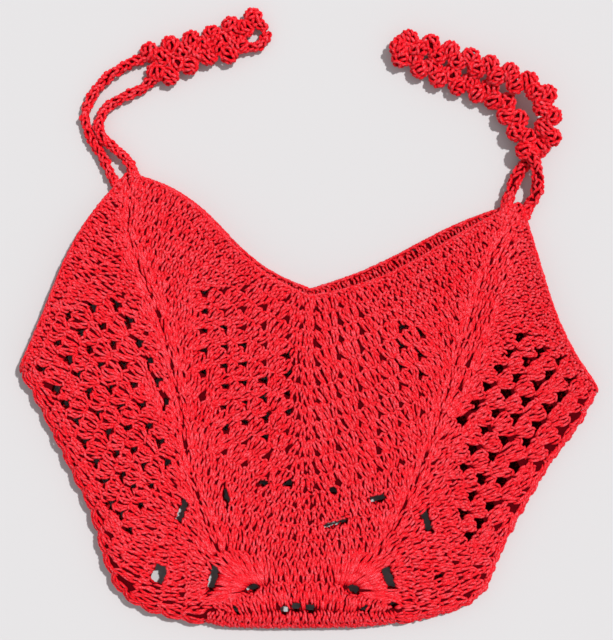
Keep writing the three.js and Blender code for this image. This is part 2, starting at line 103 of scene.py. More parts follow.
LEFT_CORNER = Line([(-62, -161), (-81, -109), (-90, -53), (-103, 1), (-123, 54), (-126, 102)])
RIGHT_CORNER = Line([(49, -164), (75, -115), (94, -63), (109, -15), (127, 38), (149, 81)])
FRONT_MIDDLE = Line([(-5, -168), (-3, -134), (-2, -99), (-1, -62), (0, -23), (2, 15)])
BACK_MIDDLE = Line([(-5, -168), (-3, -134), (-2, -98), (-1, -59), (0, -19), (2, 20)])
LEFT_FOLD = Line([(-72, -213), (-96, -208), (-121, -199), (-133, -188), (-141, -171),
                  (-151, -136), (-164, -108), (-184, -67), (-194, -48), (-201, -36)], True)
RIGHT_FOLD = Line([(63, -213), (76, -211), (99, -205), (114, -199), (126, -188),
                   (133, -169), (149, -138), (169, -103), (194, -69), (203, -50)], True)
BASE_FOLD = Line([(-72, -213), (-56, -216), (-7, -217), (26, -216.5), (50, -215),
                  (63, -213)], True)
print("the folds have", len(LEFT_FOLD.points) + len(RIGHT_FOLD.points), "places")

# %% [markdown]
# ## Half panels
# The sides and the two halves of the front are all worked outwards from a corner line. So each is
# a half panel: one edge is a corner line, the other is a fold or the middle of the front. Real
# rows aren't straight, so a row may bow to one side and sway to both, by amounts that change
# steadily from the base to the mouth.

# %% Half panels
# bow bends a row to one side and sway to both in turn, in millimetres at the base and the mouth
HALVES = {
    "left_side": dict(corner=LEFT_CORNER, far=LEFT_FOLD, turn=-1,
                      base_bow=7.7, mouth_bow=7.7, base_sway=3.5, mouth_sway=2.1),
    "front_left": dict(corner=LEFT_CORNER, far=FRONT_MIDDLE, back_far=BACK_MIDDLE, turn=1,
                       base_bow=0.5, mouth_bow=2, base_sway=0.5, mouth_sway=6),
    "front_right": dict(corner=RIGHT_CORNER, far=FRONT_MIDDLE, back_far=BACK_MIDDLE, turn=-1,
                        base_bow=0, mouth_bow=-6.9, base_sway=0, mouth_sway=2.5, back_bow=0),
    "right_side": dict(corner=RIGHT_CORNER, far=RIGHT_FOLD, turn=1,
                       base_bow=5.5, mouth_bow=-7.4, base_sway=2, mouth_sway=1.4),
}


def chord_of(half, rounds, back):
    far = half.get("back_far", half["far"]) if back else half["far"]
    start = half["corner"].at(rounds)
    return start, far.at(rounds) - start


def place(half, reach, rounds, back=False):
    """Places on a half panel, reach millimetres from its corner line."""
    start, chord = chord_of(half, rounds, back)
    length = np.linalg.norm(chord, axis=-1, keepdims=True)
    along = np.asarray(reach, float)[..., None] / length
    outward = np.stack([-chord[..., 1], chord[..., 0]], axis=-1) / length * half["turn"]
    rise = np.minimum(np.asarray(rounds, float) / ROUNDS, 1)[..., None]
    mouth_bow = half.get("back_bow", half["mouth_bow"]) if back else half["mouth_bow"]
    bow = half["base_bow"] + (mouth_bow - half["base_bow"]) * rise
    sway = half["base_sway"] + (half["mouth_sway"] - half["base_sway"]) * rise
    bend = bow * np.sin(math.pi * along) + sway * np.sin(2 * math.pi * along)
    return start + chord * along + outward * bend


def row_length(half, rounds, back=False):
    return np.linalg.norm(chord_of(half, rounds, back)[1], axis=-1)


for name, half in HALVES.items():
    print(name, "is", round(float(row_length(half, ROUNDS))), "mm wide at the mouth")

# %% [markdown]
# ## Depth
# The fabric is about as thick as two strands of yarn, and the two layers of the flat bag lie a
# little apart. Height above the ground is a function of how far a place is from the fold: flat
# in the middle, and rounding over where one layer turns into the other.

# %% Height of the two layers
WALL = 4.2
# the space between the layers, in the middle and at the peaks, and how far a peak's reach goes
HOLLOW = 6.4
PEAK_HOLLOW = 1.6
PEAK_REACH = 60
# the middle of a fold above the ground, and how far from the fold its rounding reaches
FOLD_HEIGHT = 6.6
FOLD_REACH = 8
BACK_LIFT = 0.3
SLOPE_STEP = 0.6
FOLD_LINE = np.vstack([LEFT_FOLD.points[::-8], BASE_FOLD.points[8::8], RIGHT_FOLD.points[8::8]])


def fold_distance(points):
    start, step = FOLD_LINE[:-1], np.diff(FOLD_LINE, axis=0)
    offset = points[:, None] - start
    share = (offset * step).sum(-1) / (step**2).sum(-1)
    nearest = offset - np.clip(share, 0, 1)[..., None] * step
    return np.linalg.norm(nearest, axis=-1).min(1)


def smooth(x, low, high):
    t = np.clip((np.asarray(x, float) - low) / (high - low), 0, 1)
    return t * t * (3 - 2 * t)


def unit(v):
    return v / np.linalg.norm(v, axis=-1, keepdims=True)


def height(points, back):
    peaks = [LEFT_CORNER.at(ROUNDS), RIGHT_CORNER.at(ROUNDS)]
    away = np.min([np.linalg.norm(points - peak, axis=-1) for peak in peaks], axis=0)
    hollow = PEAK_HOLLOW + (HOLLOW - PEAK_HOLLOW) * smooth(away, 0, PEAK_REACH)
    level = np.full(len(points), WALL / 2 + BACK_LIFT) if back else 1.5 * WALL + hollow
    inside = 1 - np.clip((fold_distance(points) - WALL / 2) / FOLD_REACH, 0, 1)
    return FOLD_HEIGHT + (level - FOLD_HEIGHT) * np.sqrt(1 - inside**2)


def raised(points, back):
    """Places in space and the way that the fabric faces there."""
    here = height(points, back)
    rises = [height(points + step, back) - height(points - step, back)
             for step in SLOPE_STEP * np.eye(2)]
    slopes = [-rise / (2 * SLOPE_STEP) for rise in rises]
    facing = unit(np.stack([*slopes, np.ones(len(points))], -1)) * (-1 if back else 1)
    return np.column_stack([points, here]), facing


print("the front lies", round(float(height(np.zeros((1, 2)), False)[0]), 1), "mm up")

# %% [markdown]
# ## Where the gaps are
# The open mesh is made of clusters of three tall stitches with a gap between each two clusters.
# On the sides the gaps stand in rows that start further and further from the corner line. On
# the front, whose rows run down to the middle like a V, they stand in upright columns. The
# same short tables place the holes of the solid model, so yarn and holes agree.

# %% Tables of the gaps
LEFT_GAPS = dict(drift=0.0098, drift_from=30, spread=1.1, back_shift=0)
RIGHT_GAPS = dict(drift=0, drift_from=0, spread=0, back_shift=-0.5)
# row: the round where it lies, the first gap's reach, the pitch and the number of gaps
LEFT_ROWS = {4: (4.3, 20, 17, 4), 5: (5.25, 24.5, 18.5, 4), 6: (6.2, 13, 18, 5),
             7: (7.15, 15.5, 18, 5), 8: (8.1, 19, 18, 5), 9: (9.05, 22.5, 18, 5),
             10: (10, 26, 17.5, 5), 11: (10.9, 29, 18, 5), 12: (11.7, 51, 21, 4),
             13: (12.9, 85.5, 22, 3)}
RIGHT_ROWS = {4: (4.7, 55, 15, 2), 5: (5.7, 39, 19.7, 3), 6: (6.8, 23.4, 20.8, 4),
              7: (8.1, 31.8, 19.2, 5), 8: (9.25, 38.4, 20, 4), 9: (10.45, 47.9, 18, 5),
              10: (11.4, 53.3, 18.2, 5), 11: (12.35, 58.2, 17.8, 5),
              12: (13.25, 82.8, 16.8, 4), 13: (14.05, 101, 16.8, 3)}
SIDE_ROWS = {"left_side": (LEFT_ROWS, LEFT_GAPS), "right_side": (RIGHT_ROWS, RIGHT_GAPS)}
# where the columns count from, their pitch and their numbers
COLUMNS = {"front_left": (3.0, 15.4, np.arange(-8, 0)),
           "front_right": (6.0, 14.4, np.arange(9, -1, -1))}
# the columns with holes right through the bag, and their first and last rows
THROUGH = {"front_left": {-5: (7, 11), -4: (5, 10), -3: (6, 10), -2: (6, 9), -1: (8, 11)},
           "front_right": {4: (9, 12), 5: (8, 11)}}
# the reach at which the mesh of the front starts, by row
MESH_FROM = {4: 20, 5: 20, 6: 13, 7: 17, 8: 24, 9: 30, 10: 42, 11: 52, 12: 76, 13: 98, 14: 122}

# holes of their own around the base: place, length, width and angle
SLOTS = [
    (-88, -134, 17, 4.2, 67), (-104, -178, 15, 9, 70), (-66, -180, 18, 4.6, 75),
    (-57, -125, 13, 4.1, 102), (-39, -188, 8, 4.4, 30), (20, -142, 19, 4.1, 19),
    (49, -125, 10, 4.1, 12), (32, -189, 7, 7, 0), (57, -181, 17, 5, 108),
    (83, -140, 18, 4.4, 107), (-31, -114, 5, 4.4, 0), (-14, -114, 5, 4.4, 0),
    (18, -119, 5, 4.4, 0), (91, -180, 5, 5, 60), (-71, -199, 5, 5, 0), (-49, -203, 5, 5, 0),
    (-16, -203, 5, 5, 0), (-8, -201, 5, 5, 0), (2, -202, 5, 5, 0), (40, -202, 5, 5, 0),
    (61, -198, 5, 5, 0),
]

# how far the feet of two clusters keep off a gap, and off a hole right through
OPEN = {"left_side": 4.9, "right_side": 4.9, "front_left": 3.1, "front_right": 3.0}
OPEN_THROUGH = 4.4
print("rows with gaps on the sides:", len(LEFT_ROWS), "and", len(RIGHT_ROWS),
      "- slots near the base:", len(SLOTS))

# %% [markdown]
# ## Places of the gaps
# A table of reaches is turned into places on the plan. On a side, the row of gaps may drift
# towards the mouth as it goes out. On the front, a column keeps its distance from the middle, so
# its reach along the row has to be worked out from the ends of the row.

# %% Find the gaps of a row
def side_gaps(name, row, back):
    rows, gaps = SIDE_ROWS[name]
    if row not in rows:
        return np.zeros((0, 2)), np.zeros(0)
    lies_at, start, pitch, count = rows[row]
    i = np.arange(count)
    shift = gaps["back_shift"] if back else 0
    reach = start + pitch * (i + shift) + gaps["spread"] * i**2
    rounds = lies_at + gaps["drift"] * np.maximum(reach - gaps["drift_from"], 0)
    return place(HALVES[name], reach, rounds), np.full(count, OPEN[name])


def front_gaps(name, row, back):
    if row not in MESH_FROM:
        return np.zeros((0, 2)), np.zeros(0)
    half = HALVES[name]
    near, far = half["corner"].at(row + 0.5)[0], half["far"].at(row + 0.5)[0]
    start, pitch, columns = COLUMNS[name]
    reach = (start + columns * pitch - near) / (far - near) * row_length(half, row + 0.5)
    through = [c in THROUGH[name] and THROUGH[name][c][0] <= row <= THROUGH[name][c][1]
               for c in columns]
    opens = np.where(through, OPEN_THROUGH, OPEN[name])
    inside = reach > MESH_FROM[row]
    return place(half, reach[inside], row + 0.5, back), opens[inside]


def gaps_of(name, row, back):
    """Places of a row's gaps, and how far the stitches beside each keep off it."""
    find = side_gaps if name in SIDE_ROWS else front_gaps
    return find(name, row, back)


print("gaps on the front layer:",
      sum(len(gaps_of(name, row, False)[1]) for name in HALVES for row in range(ROUNDS)))

# %% [markdown]
# ## Row lines
# A stitch stands on one row line and reaches to the next, at right angles to the row. So each
# row line is sampled finely as a chain of points, and a stitch finds its foot as the nearest
# place on the line below its head. At a corner line many heads share one foot, and the stitches
# spread like a fan there without any extra rule.

# %% Lines between the rows
GAP_ABOVE_LINE = 0.3
SAMPLES = 160
# the rounds where the last line of each side's mesh settles
LAST_MESH = {"left_side": 13.9, "right_side": 14.45}
# how far from the corner line the rows have settled onto the mesh
SETTLE = 25


def line_rounds(name, row, reach):
    """The rounds, along the reach, where the line under a row runs."""
    if row in (0, ROUNDS):
        return np.full(len(reach), float(row))
    plain = np.full(len(reach), row + 0.1)
    if name not in SIDE_ROWS:
        return plain
    rows, gaps = SIDE_ROWS[name]
    known = sorted(rows)
    at_mesh = {r: rows[r][0] - GAP_ABOVE_LINE for r in known}
    at_mesh.update({0: 0, ROUNDS: ROUNDS, 14: LAST_MESH[name]})
    keys = sorted(at_mesh)
    settled = np.interp(row, keys, [at_mesh[k] for k in keys])
    lines = plain + (settled - plain) * smooth(reach, 0, SETTLE)
    fade = np.interp(row, [0, 4, 13, ROUNDS], [0, 1, 1, 0])
    return lines + fade * gaps["drift"] * np.maximum(reach - gaps["drift_from"], 0)


class RowLine:
    """A line between two rows. A run is a length along it, over the curve of the fold too."""

    def __init__(self, name, row, back):
        half = HALVES[name]
        edge = WALL / 2 if name in SIDE_ROWS else 0
        reach = np.linspace(0, row_length(half, row, back) - edge, SAMPLES)
        # the length depends on where the line runs, so it is found in two passes
        for _ in range(2):
            rounds = line_rounds(name, row, reach)
            limit = row_length(half, rounds, back)[-1] - edge
            reach = np.linspace(0, limit, SAMPLES)
        self.plan = place(half, reach, line_rounds(name, row, reach), back)
        self.run = run_along(raised(self.plan, back)[0])
        self.length = self.run[-1]
        self.way = unit(np.gradient(self.plan, axis=0))

    def at(self, run):
        return read_off(self.plan, self.run, run)

    def way_at(self, run):
        return read_off(self.way, self.run, run)

    def nearest(self, points):
        gap = np.linalg.norm(points[:, None] - self.plan[None], axis=-1)
        return self.run[gap.argmin(1)]


lines = {(name, row, back): RowLine(name, row, back)
         for name in HALVES for row in range(ROUNDS + 1) for back in (False, True)}
print("row lines:", len(lines), "- the longest is",
      round(max(line.length for line in lines.values())), "mm")

# %% [markdown]
# ## Yarn
# Everything is one soft cotton yarn, a little over two millimetres thick. Looked at closely, a
# crochet fabric is a field of short strokes, like grains of rice: each is a piece of yarn that
# comes up between its neighbours, shows for half a turn and dives under again. So the yarn is
# modelled as one stroke, a tube that bulges in the middle, with its own UV map: U along it and
# V around it, for the material to wind the plies around it.

# %% A stroke of yarn
# thickness of the yarn in millimetres
YARN = 2.05


def stroke(name, arch, bow=0.0, sides=5):
    """A closed tube along X, one unit long, that rises by arch and swings aside by bow."""
    # four rings along the tube, which tapers towards both ends
    t = np.array([0.03, 0.32, 0.68, 0.97])
    swell = np.sin(math.pi * (0.14 + 0.72 * t)) ** 0.8
    path = np.stack([t, bow * np.sin(math.pi * t), arch * (np.sin(math.pi * t) - 0.5)], -1)
    turn = np.arange(sides) * 2 * math.pi / sides + 0.3
    ring = np.stack([0 * turn, np.cos(turn), np.sin(turn)], -1) * YARN / 2
    verts = (path[:, None] + ring[None] * swell[:, None, None]).reshape(-1, 3)
    tips = np.array([[0, 0, verts[:sides, 2].mean()], [1, 0, verts[-sides:, 2].mean()]])
    verts = np.vstack([verts, tips])
    faces, uvs = [], []
    for i in range(len(t) - 1):
        for k in range(sides):
            m = (k + 1) % sides
            faces.append((i * sides + k, (i + 1) * sides + k, (i + 1) * sides + m, i * sides + m))
            uvs += [(t[i], k), (t[i + 1], k), (t[i + 1], k + 1), (t[i], k + 1)]
    last = (len(t) - 1) * sides
    for k in range(sides):
        m = (k + 1) % sides
        faces += [(k, m, len(verts) - 2), (last + m, last + k, len(verts) - 1)]
        uvs += [(t[0], k), (t[0], k + 1), (0, k + 0.5), (t[-1], k + 1), (t[-1], k), (1, k + 0.5)]
    mesh = bpy.data.meshes.new(name)
    mesh.from_pydata((verts * [1, MM, MM]).tolist(), [], faces)
    layer = mesh.uv_layers.new(name="yarn")
    spread = np.array(uvs, float) * [1, 1 / sides]
    layer.data.foreach_set("uv", spread.ravel())
    mesh.polygons.foreach_set("use_smooth", [True] * len(mesh.polygons))
    mesh.update()
    return bpy.data.objects.new(name, mesh)


# version: how far it arches and how far it swings aside
VERSIONS = {"flat": (1.2, 0.0), "left": (1.2, 0.7), "right": (1.2, -0.7), "bulged": (1.9, 0.0)}
full_strokes = bpy.data.collections.new("strokes")
plain_strokes = bpy.data.collections.new("plain strokes")
for i, (kind, (arch, bow)) in enumerate(VERSIONS.items()):
    full_strokes.objects.link(stroke(f"s{i}_{kind}", arch, bow))
    plain_strokes.objects.link(stroke(f"p{i}_{kind}", arch, bow, sides=4))
FLAT, LEFT, RIGHT, BULGED = range(4)

# %% [markdown]
# ## Laying the stitches
# A small Geometry Nodes tree puts a stroke on every point of a point cloud. Each point carries
# its own span, from the stroke's start to its end, the way the fabric faces, how stout the yarn
# is and which version to use. The tree turns the stroke's X axis along the span and its Z axis
# the way the fabric faces, and stretches it to the span's length.

# %% Build the tree that lays strokes
ALIGN = "FunctionNodeAlignRotationToVector"


def laying_tree():
    tree = bpy.data.node_groups.new("lay strokes", "GeometryNodeTree")
    tree.interface.new_socket("Geometry", in_out="OUTPUT", socket_type="NodeSocketGeometry")
    for name, kind in (("Points", "Geometry"), ("Strokes", "Collection"),
                       ("Thickness", "Float"), ("Yarn", "Material")):
        tree.interface.new_socket(name, in_out="INPUT", socket_type="NodeSocket" + kind)

    def node(kind, inputs=None, **settings):
        made = tree.nodes.new(kind)
        for key, value in settings.items():
            setattr(made, key, value)
        for key, value in (inputs or {}).items():
            if isinstance(value, bpy.types.NodeSocket):
                tree.links.new(value, made.inputs[key])
            else:
                made.inputs[key].default_value = value
        return made.outputs

    def named(attribute, data_type):
        read = node("GeometryNodeInputNamedAttribute", {"Name": attribute}, data_type=data_type)
        return read["Attribute"]

    given = node("NodeGroupInput")
    span, facing = named("span", "FLOAT_VECTOR"), named("facing", "FLOAT_VECTOR")
    versions = node("GeometryNodeCollectionInfo",
                    {"Collection": given["Strokes"], "Separate Children": True,
                     "Reset Children": True})
    along = node(ALIGN, {"Vector": span}, axis="X")
    turned = node(ALIGN, {"Rotation": along["Rotation"], "Vector": facing},
                  axis="Z", pivot_axis="X")
    length = node("ShaderNodeVectorMath", {0: span}, operation="LENGTH")
    stout = node("ShaderNodeMath", {0: named("stout", "FLOAT"), 1: given["Thickness"]},
                 operation="MULTIPLY")
    size = node("ShaderNodeCombineXYZ", {"X": length["Value"], "Y": stout[0], "Z": stout[0]})
    laid = node("GeometryNodeInstanceOnPoints",
                {"Points": given["Points"], "Instance": versions["Instances"],
                 "Pick Instance": True, "Instance Index": named("version", "INT"),
                 "Rotation": turned["Rotation"], "Scale": size["Vector"]})
    real = node("GeometryNodeRealizeInstances", {"Geometry": laid["Instances"]})
    dyed = node("GeometryNodeSetMaterial",
                {"Geometry": real["Geometry"], "Material": given["Yarn"]})
    node("NodeGroupOutput", {"Geometry": dyed["Geometry"]})
    return tree


LAYING = laying_tree()
SOCKETS = {item.name: item.identifier for item in LAYING.interface.items_tree
           if item.in_out == "INPUT"}
print("the tree's inputs:", sorted(SOCKETS))

# %% [markdown]
# ## From a list of strokes to a piece
# A finished piece has to be a plain mesh. So its strokes become the points of a holder, the tree
# is evaluated on it once, and only the mesh that comes out is kept. Each stroke also gets a random
# shade, which stays on the mesh as an attribute for the material to read.

# %% Turn a list of strokes into a piece
# an attribute's type and the field that holds its values
ATTRIBUTES = {"span": ("FLOAT_VECTOR", "vector"), "facing": ("FLOAT_VECTOR", "vector"),
              "stout": ("FLOAT", "value"), "version": ("INT", "value"),
              "shade": ("FLOAT", "value")}
# 1 keeps the strokes as thick as they were modelled
THICKNESS = 1.0


def put(name, data):
    made = bpy.data.objects.new(name, data)
    bpy.context.scene.collection.objects.link(made)
    return made


def lay(name, strokes, yarn, versions=full_strokes):
    """strokes holds the columns start, end, facing, stout and version, in millimetres."""
    start, end, facing, stout, version = (np.array(column, float) for column in strokes)
    start[:, :2] -= MIDDLE
    end[:, :2] -= MIDDLE
    cloud = bpy.data.meshes.new(name + "_points")
    cloud.from_pydata((start * MM).tolist(), [], [])
    columns = {"span": (end - start) * MM, "facing": facing, "stout": stout,
               "version": version, "shade": rng.random(len(start))}
    for key, (kind, field) in ATTRIBUTES.items():
        values = np.asarray(columns[key], np.int32 if kind == "INT" else np.float32)
        cloud.attributes.new(key, kind, "POINT").data.foreach_set(field, values.ravel())
    holder = put(name + "_points", cloud)
    modifier = holder.modifiers.new("lay", "NODES")
    modifier.node_group = LAYING
    modifier[SOCKETS["Strokes"]] = versions
    modifier[SOCKETS["Thickness"]] = THICKNESS
    modifier[SOCKETS["Yarn"]] = yarn
    evaluated = holder.evaluated_get(bpy.context.evaluated_depsgraph_get())
    mesh = bpy.data.meshes.new_from_object(evaluated)
    mesh.name = name
    bpy.data.objects.remove(holder)
    mesh.calc_loop_triangles()
    print(name, "-", len(start), "strokes,", len(mesh.loop_triangles), "triangles")
    return put(name, mesh)


print("attributes of a stroke:", sorted(ATTRIBUTES))

# %% [markdown]
# ## Shader maths
# A pattern in a material is worked out by many small nodes, which are hard to follow when each is
# linked by hand. One small class wraps a socket instead, so that an expression such as
# 1 - wave * 2 adds its own nodes. Every other node comes from one method.

# %% Shader maths as plain expressions
class Value:
    """A shader socket that can be used in sums."""

    def __init__(self, shader, socket):
        self.shader, self.socket = shader, socket

    def maths(self, operation, *others):
        made = self.shader.node("ShaderNodeMath", {"operation": operation},
                                {i: v for i, v in enumerate((self, *others))})
        return Value(self.shader, made.outputs[0])

    def __add__(self, other):
        return self.maths("ADD", other)

    def __sub__(self, other):
        return self.maths("SUBTRACT", other)

    def __mul__(self, other):
        return self.maths("MULTIPLY", other)

    def __rsub__(self, other):
        return self * -1 + other

    def __pow__(self, other):
        return self.maths("POWER", other)

    __radd__, __rmul__ = __add__, __mul__


class Shader:
    def __init__(self, name):
        self.material = bpy.data.materials.new(name)
        self.material.use_nodes = True
        self.tree = self.material.node_tree
        self.surface = self.tree.nodes["Principled BSDF"]

    def node(self, kind, settings=None, values=None):
        made = self.tree.nodes.new(kind)
        for key, value in (settings or {}).items():
            setattr(made, key, value)
        for key, value in (values or {}).items():
            self.feed(made.inputs[key], value)
        return made

    def feed(self, socket, value):
        if isinstance(value, Value):
            value = value.socket
        if isinstance(value, bpy.types.NodeSocket):
            self.tree.links.new(value, socket)
        else:
            socket.default_value = value

    def value(self, kind, settings=None, values=None, output=0):
        return Value(self, self.node(kind, settings, values).outputs[output])

    def noise(self, scale, detail):
        where = self.node("ShaderNodeTexCoord").outputs["Object"]
        return self.value("ShaderNodeTexNoise",
                          values={"Vector": where, "Scale": scale, "Detail": detail}, output="Fac")

    def bump(self, height, strength, distance):
        made = self.node("ShaderNodeBump", values={"Height": height, "Strength": strength,
                                                   "Distance": distance})
        self.feed(self.surface.inputs["Normal"], made.outputs["Normal"])

    def blend(self, share, low, high):
        # sockets 6 and 7 are the two colours, and output 2 is the mixed one
        made = self.node("ShaderNodeMix", {"data_type": "RGBA"}, {0: share, 6: low, 7: high})
        return made.outputs[2]


print("operators of a shader value:",
      sorted(set(dir(Value)) & (set(dir(float)) - set(dir(object)))))

# %% [markdown]
# ## Yarn material
# Cotton yarn is matt, and its twisted plies catch the light. The plies are ridges that run
# slantwise over the stroke's own UV map: a sine of U and V together. They are used twice, as
# bump and as a painted highlight: paler crests on the side that faces out, brightest in the middle
# of each stroke, where light would catch them. A fine noise stands for the fibres, and a wide one
# and each stroke's own random shade for the small differences between stitches, which also vary
# how strong the painted highlight is.

# %% The red cotton
# ridges around the yarn, and how many of them pass along one stroke
PLIES, PASSING = 7, 4
# the yarn's own red, and the paler red of a painted highlight
RED_DEEP = (0.96, 0.0003, 0.010, 1)
RED_HIGHLIGHT = (1.0, 0.22, 0.27, 1)
# scale of the noise of the fibres and of the wide patches
FIBRES, PATCHES = 1000.0, 45.0
# what the painted highlight's strength adds up from: the fibres, each stroke's shade, the patches
# and a constant
HIGHLIGHT_WEIGHTS = (2.6, 0.5, 0.3, -2.14)
# the fibres' share of the relief, and its depth in metres
FIBRE_RELIEF, PLY_RELIEF = 0.8, 0.0003
# how far around the yarn, in turns, its outer side, where the highlight is painted, is off a
# quarter turn
OUTWARD = 0.05


def yarn_material(name):
    shader = Shader(name)
    uv = shader.node("ShaderNodeUVMap", {"uv_map": "yarn"})
    apart = shader.node("ShaderNodeSeparateXYZ", values={0: uv.outputs[0]})
    along, around = (Value(shader, apart.outputs[k]) for k in (0, 1))
    wind = ((along * PASSING + around * PLIES) * math.pi).maths("SINE").maths("ABSOLUTE")
    # painted highlight: the outer side of each stroke is painted paler, as if lit
    outer = ((around + OUTWARD) * 2 * math.pi).maths("SINE") * 0.5 + 0.5
    shade = shader.value("ShaderNodeAttribute", {"attribute_name": "shade"}, output="Fac")
    fibres, patches = shader.noise(FIBRES, 3.0), shader.noise(PATCHES, 1.0)
    # how much painted highlight each place gets, varied by the plies, fibres, shade and patches
    highlight_amount = wind**2 + fibres * HIGHLIGHT_WEIGHTS[0] + shade * HIGHLIGHT_WEIGHTS[1] + patches * HIGHLIGHT_WEIGHTS[2] + HIGHLIGHT_WEIGHTS[3]
    share = outer**4 * (along * math.pi).maths("SINE") * highlight_amount
    inputs = shader.surface.inputs
    shader.feed(inputs["Base Color"], shader.blend(share, RED_DEEP, RED_HIGHLIGHT))
    shader.feed(inputs["Roughness"], 0.75 - wind * 0.25)
    inputs["Sheen Weight"].default_value = 0.02
    inputs["Sheen Roughness"].default_value = 0.4
    inputs["Sheen Tint"].default_value = (1.0, 0.45, 0.5, 1)
    inputs["Specular IOR Level"].default_value = 0.15
    shader.bump(wind + fibres * FIBRE_RELIEF, 1.0, PLY_RELIEF)
    return shader.material


red_yarn = yarn_material("red cotton yarn")
print("material:", red_yarn.name, "with", len(red_yarn.node_tree.nodes), "nodes")

# %% [markdown]
# ## One tall stitch
# A tall stitch shows as eight or nine strokes: legs below, a bar that wraps them, more strokes
# above and the two halves of the loop that closes it. The recipe gives each stroke's
# start and end as shares of the stitch: up from foot to head, and across its width. Placing
# the strokes by shares lets one recipe fill a straight stitch and one squeezed into a fan.

# %% The recipe of a stitch
# up and across at the start, up and across at the end, lift, version
TALL = [
    (-0.02, -0.32, 0.38, -0.20, 0.0, LEFT),
    (0.02, 0.20, 0.40, 0.36, 0.1, LEFT),
    (0.30, -0.44, 0.68, -0.24, 0.3, RIGHT),
    (0.27, 0.22, 0.66, 0.00, 0.5, FLAT),
    (0.40, 0.46, 0.80, 0.28, 0.1, RIGHT),
    (0.60, -0.40, 0.98, -0.18, 0.1, LEFT),
    (0.64, 0.02, 1.00, 0.24, 0.3, FLAT),
    (0.86, -0.48, 1.07, 0.02, 0.5, FLAT),
    (1.10, 0.06, 0.90, 0.52, 0.3, LEFT),
]
LONG_LEGS = [
    (-0.02, -0.26, 0.50, -0.34, 0.1, FLAT),
    (0.04, 0.26, 0.52, 0.22, 0.3, FLAT),
    (0.26, 0.00, 0.70, -0.04, 0.7, FLAT),
    (0.42, -0.40, 0.90, -0.24, 0.3, LEFT),
    (0.50, 0.36, 0.96, 0.30, 0.2, RIGHT),
    (0.62, -0.08, 1.00, 0.06, 0.4, FLAT),
    (0.86, -0.48, 1.06, 0.04, 0.5, FLAT),
    (1.10, 0.06, 0.90, 0.52, 0.3, LEFT),
]
UNDER = [LONG_LEGS[k] for k in (0, 1, 3, 4, 6)]
print("strokes in a tall stitch:", len(TALL), "- in one of a cluster:", len(LONG_LEGS),
      "- in one underneath:", len(UNDER))

# %% [markdown]
# ## Filling a stitch
# A stitch on the plan is a foot, a head and a width at each. The outer two stitches of a cluster
# lean outwards first and then stand straight, so the gap between two clusters closes towards its
# top like an arch. Hand work is never quite even, so the strokes stray a little, and one in
# four swings to a side of its own.

# %% Fill a stitch with strokes
MIRROR = {FLAT: FLAT, LEFT: RIGHT, RIGHT: LEFT, BULGED: BULGED}
# how far the ends of a stroke stray, and how far it reaches past them under its neighbours
JITTER = 0.4
REACH_OVER = 0.16
STOUT = (0.9, 1.15)
# the share of strokes that swing to a side of their own
WILFUL = 0.25


class Stitch:
    """Foot, head and the way the row runs, on the plan. Closes below 1 makes an arched gap."""

    def __init__(self, foot, head, across, widths, spread=0.0, closes=1.0, lift=0.0, bow=0.0):
        self.foot, self.head, self.across, self.widths = foot, head, across, widths
        self.spread, self.closes, self.lift, self.bow = spread, closes, lift, bow

    def at(self, up, across):
        inside = min(max(up, 0), 1)
        share = 1 - (1 - min(inside / self.closes, 1)) ** 2 if self.closes < 1 else up
        width = self.widths[0] + (self.widths[1] - self.widths[0]) * share
        swing = self.spread * (share - up) + self.bow * math.sin(math.pi * inside)
        return self.foot + (self.head - self.foot) * up + self.across * (across * width + swing)


def strokes_of(stitch, recipe, mirrored=False):
    """Rows of start x and y, end x and y, lift, stoutness and version."""
    strokes = []
    for up, across, up_end, across_end, lift, version in recipe:
        if mirrored:
            across, across_end, version = -across, -across_end, MIRROR[version]
        if rng.random() < WILFUL:
            version = (LEFT, RIGHT)[rng.integers(2)]
        start, end = stitch.at(up, across), stitch.at(up_end, across_end)
        over = (end - start) * REACH_OVER
        shift = rng.normal(0, JITTER, (2, 2))
        strokes.append((*(start - over + shift[0]), *(end + over + shift[1]),
                        lift + stitch.lift * math.sin(math.pi * min(max(up, 0), 1)),
                        rng.uniform(*STOUT), version))
    return strokes


trial = Stitch(np.zeros(2), np.array([0.0, 12.0]), np.array([1.0, 0.0]), (4.0, 6.0))
print("half way up, the side of a 12 mm stitch is at", trial.at(0.5, 0.5))

# %% [markdown]
# ## From the plan to the fabric
# All strokes of a piece are lifted onto the fabric together. The few long holes near the base
# come from skipped stitches, so a stroke that would lie over one is pushed to its rim, which
# makes the rim denser, as it is on the real bag. The rim is a little ragged, because each stroke
# stops at a distance of its own.

# %% Lift strokes onto the fabric
# how far the yarn's middle lies off the wall: on the front, and underneath where it is pressed
OUT = 0.85
BACK_OUT = 0.35
PRESSED = 0.3
# how far strokes keep off a slot, and how ragged its rim is
SLOT_EDGE = 0.7
RAGGED_IN, RAGGED_OUT = 1.1, 0.5
# a slot shorter than about 15 mm is less ragged, in proportion to its length
RAGGED_SHARE = 1 / 14


def clear_of_slots(start, end):
    for x, y, length, width, angle in SLOTS:
        way = np.array([math.cos(math.radians(angle)), math.sin(math.radians(angle))])
        square = np.array([-way[1], way[0]])
        half, rim = max(length - width, 0) / 2, width / 2 + SLOT_EDGE
        ragged = min(length * RAGGED_SHARE, RAGGED_IN)
        rim = rim + rng.uniform(-ragged, RAGGED_OUT, len(start))
        middle = (start + end) / 2 - (x, y)
        side = np.where(middle @ square < 0, -1.0, 1.0)
        for points in (start, end):
            along, off = (points - (x, y)) @ way, (points - (x, y)) @ square * side
            over = np.maximum(np.abs(along) - half, 0)
            need = np.sqrt(np.maximum(rim**2 - over**2, 0))
            push = np.where(over < rim, np.maximum(need - off, 0), 0) * side
            points += push[:, None] * square
    return start, end


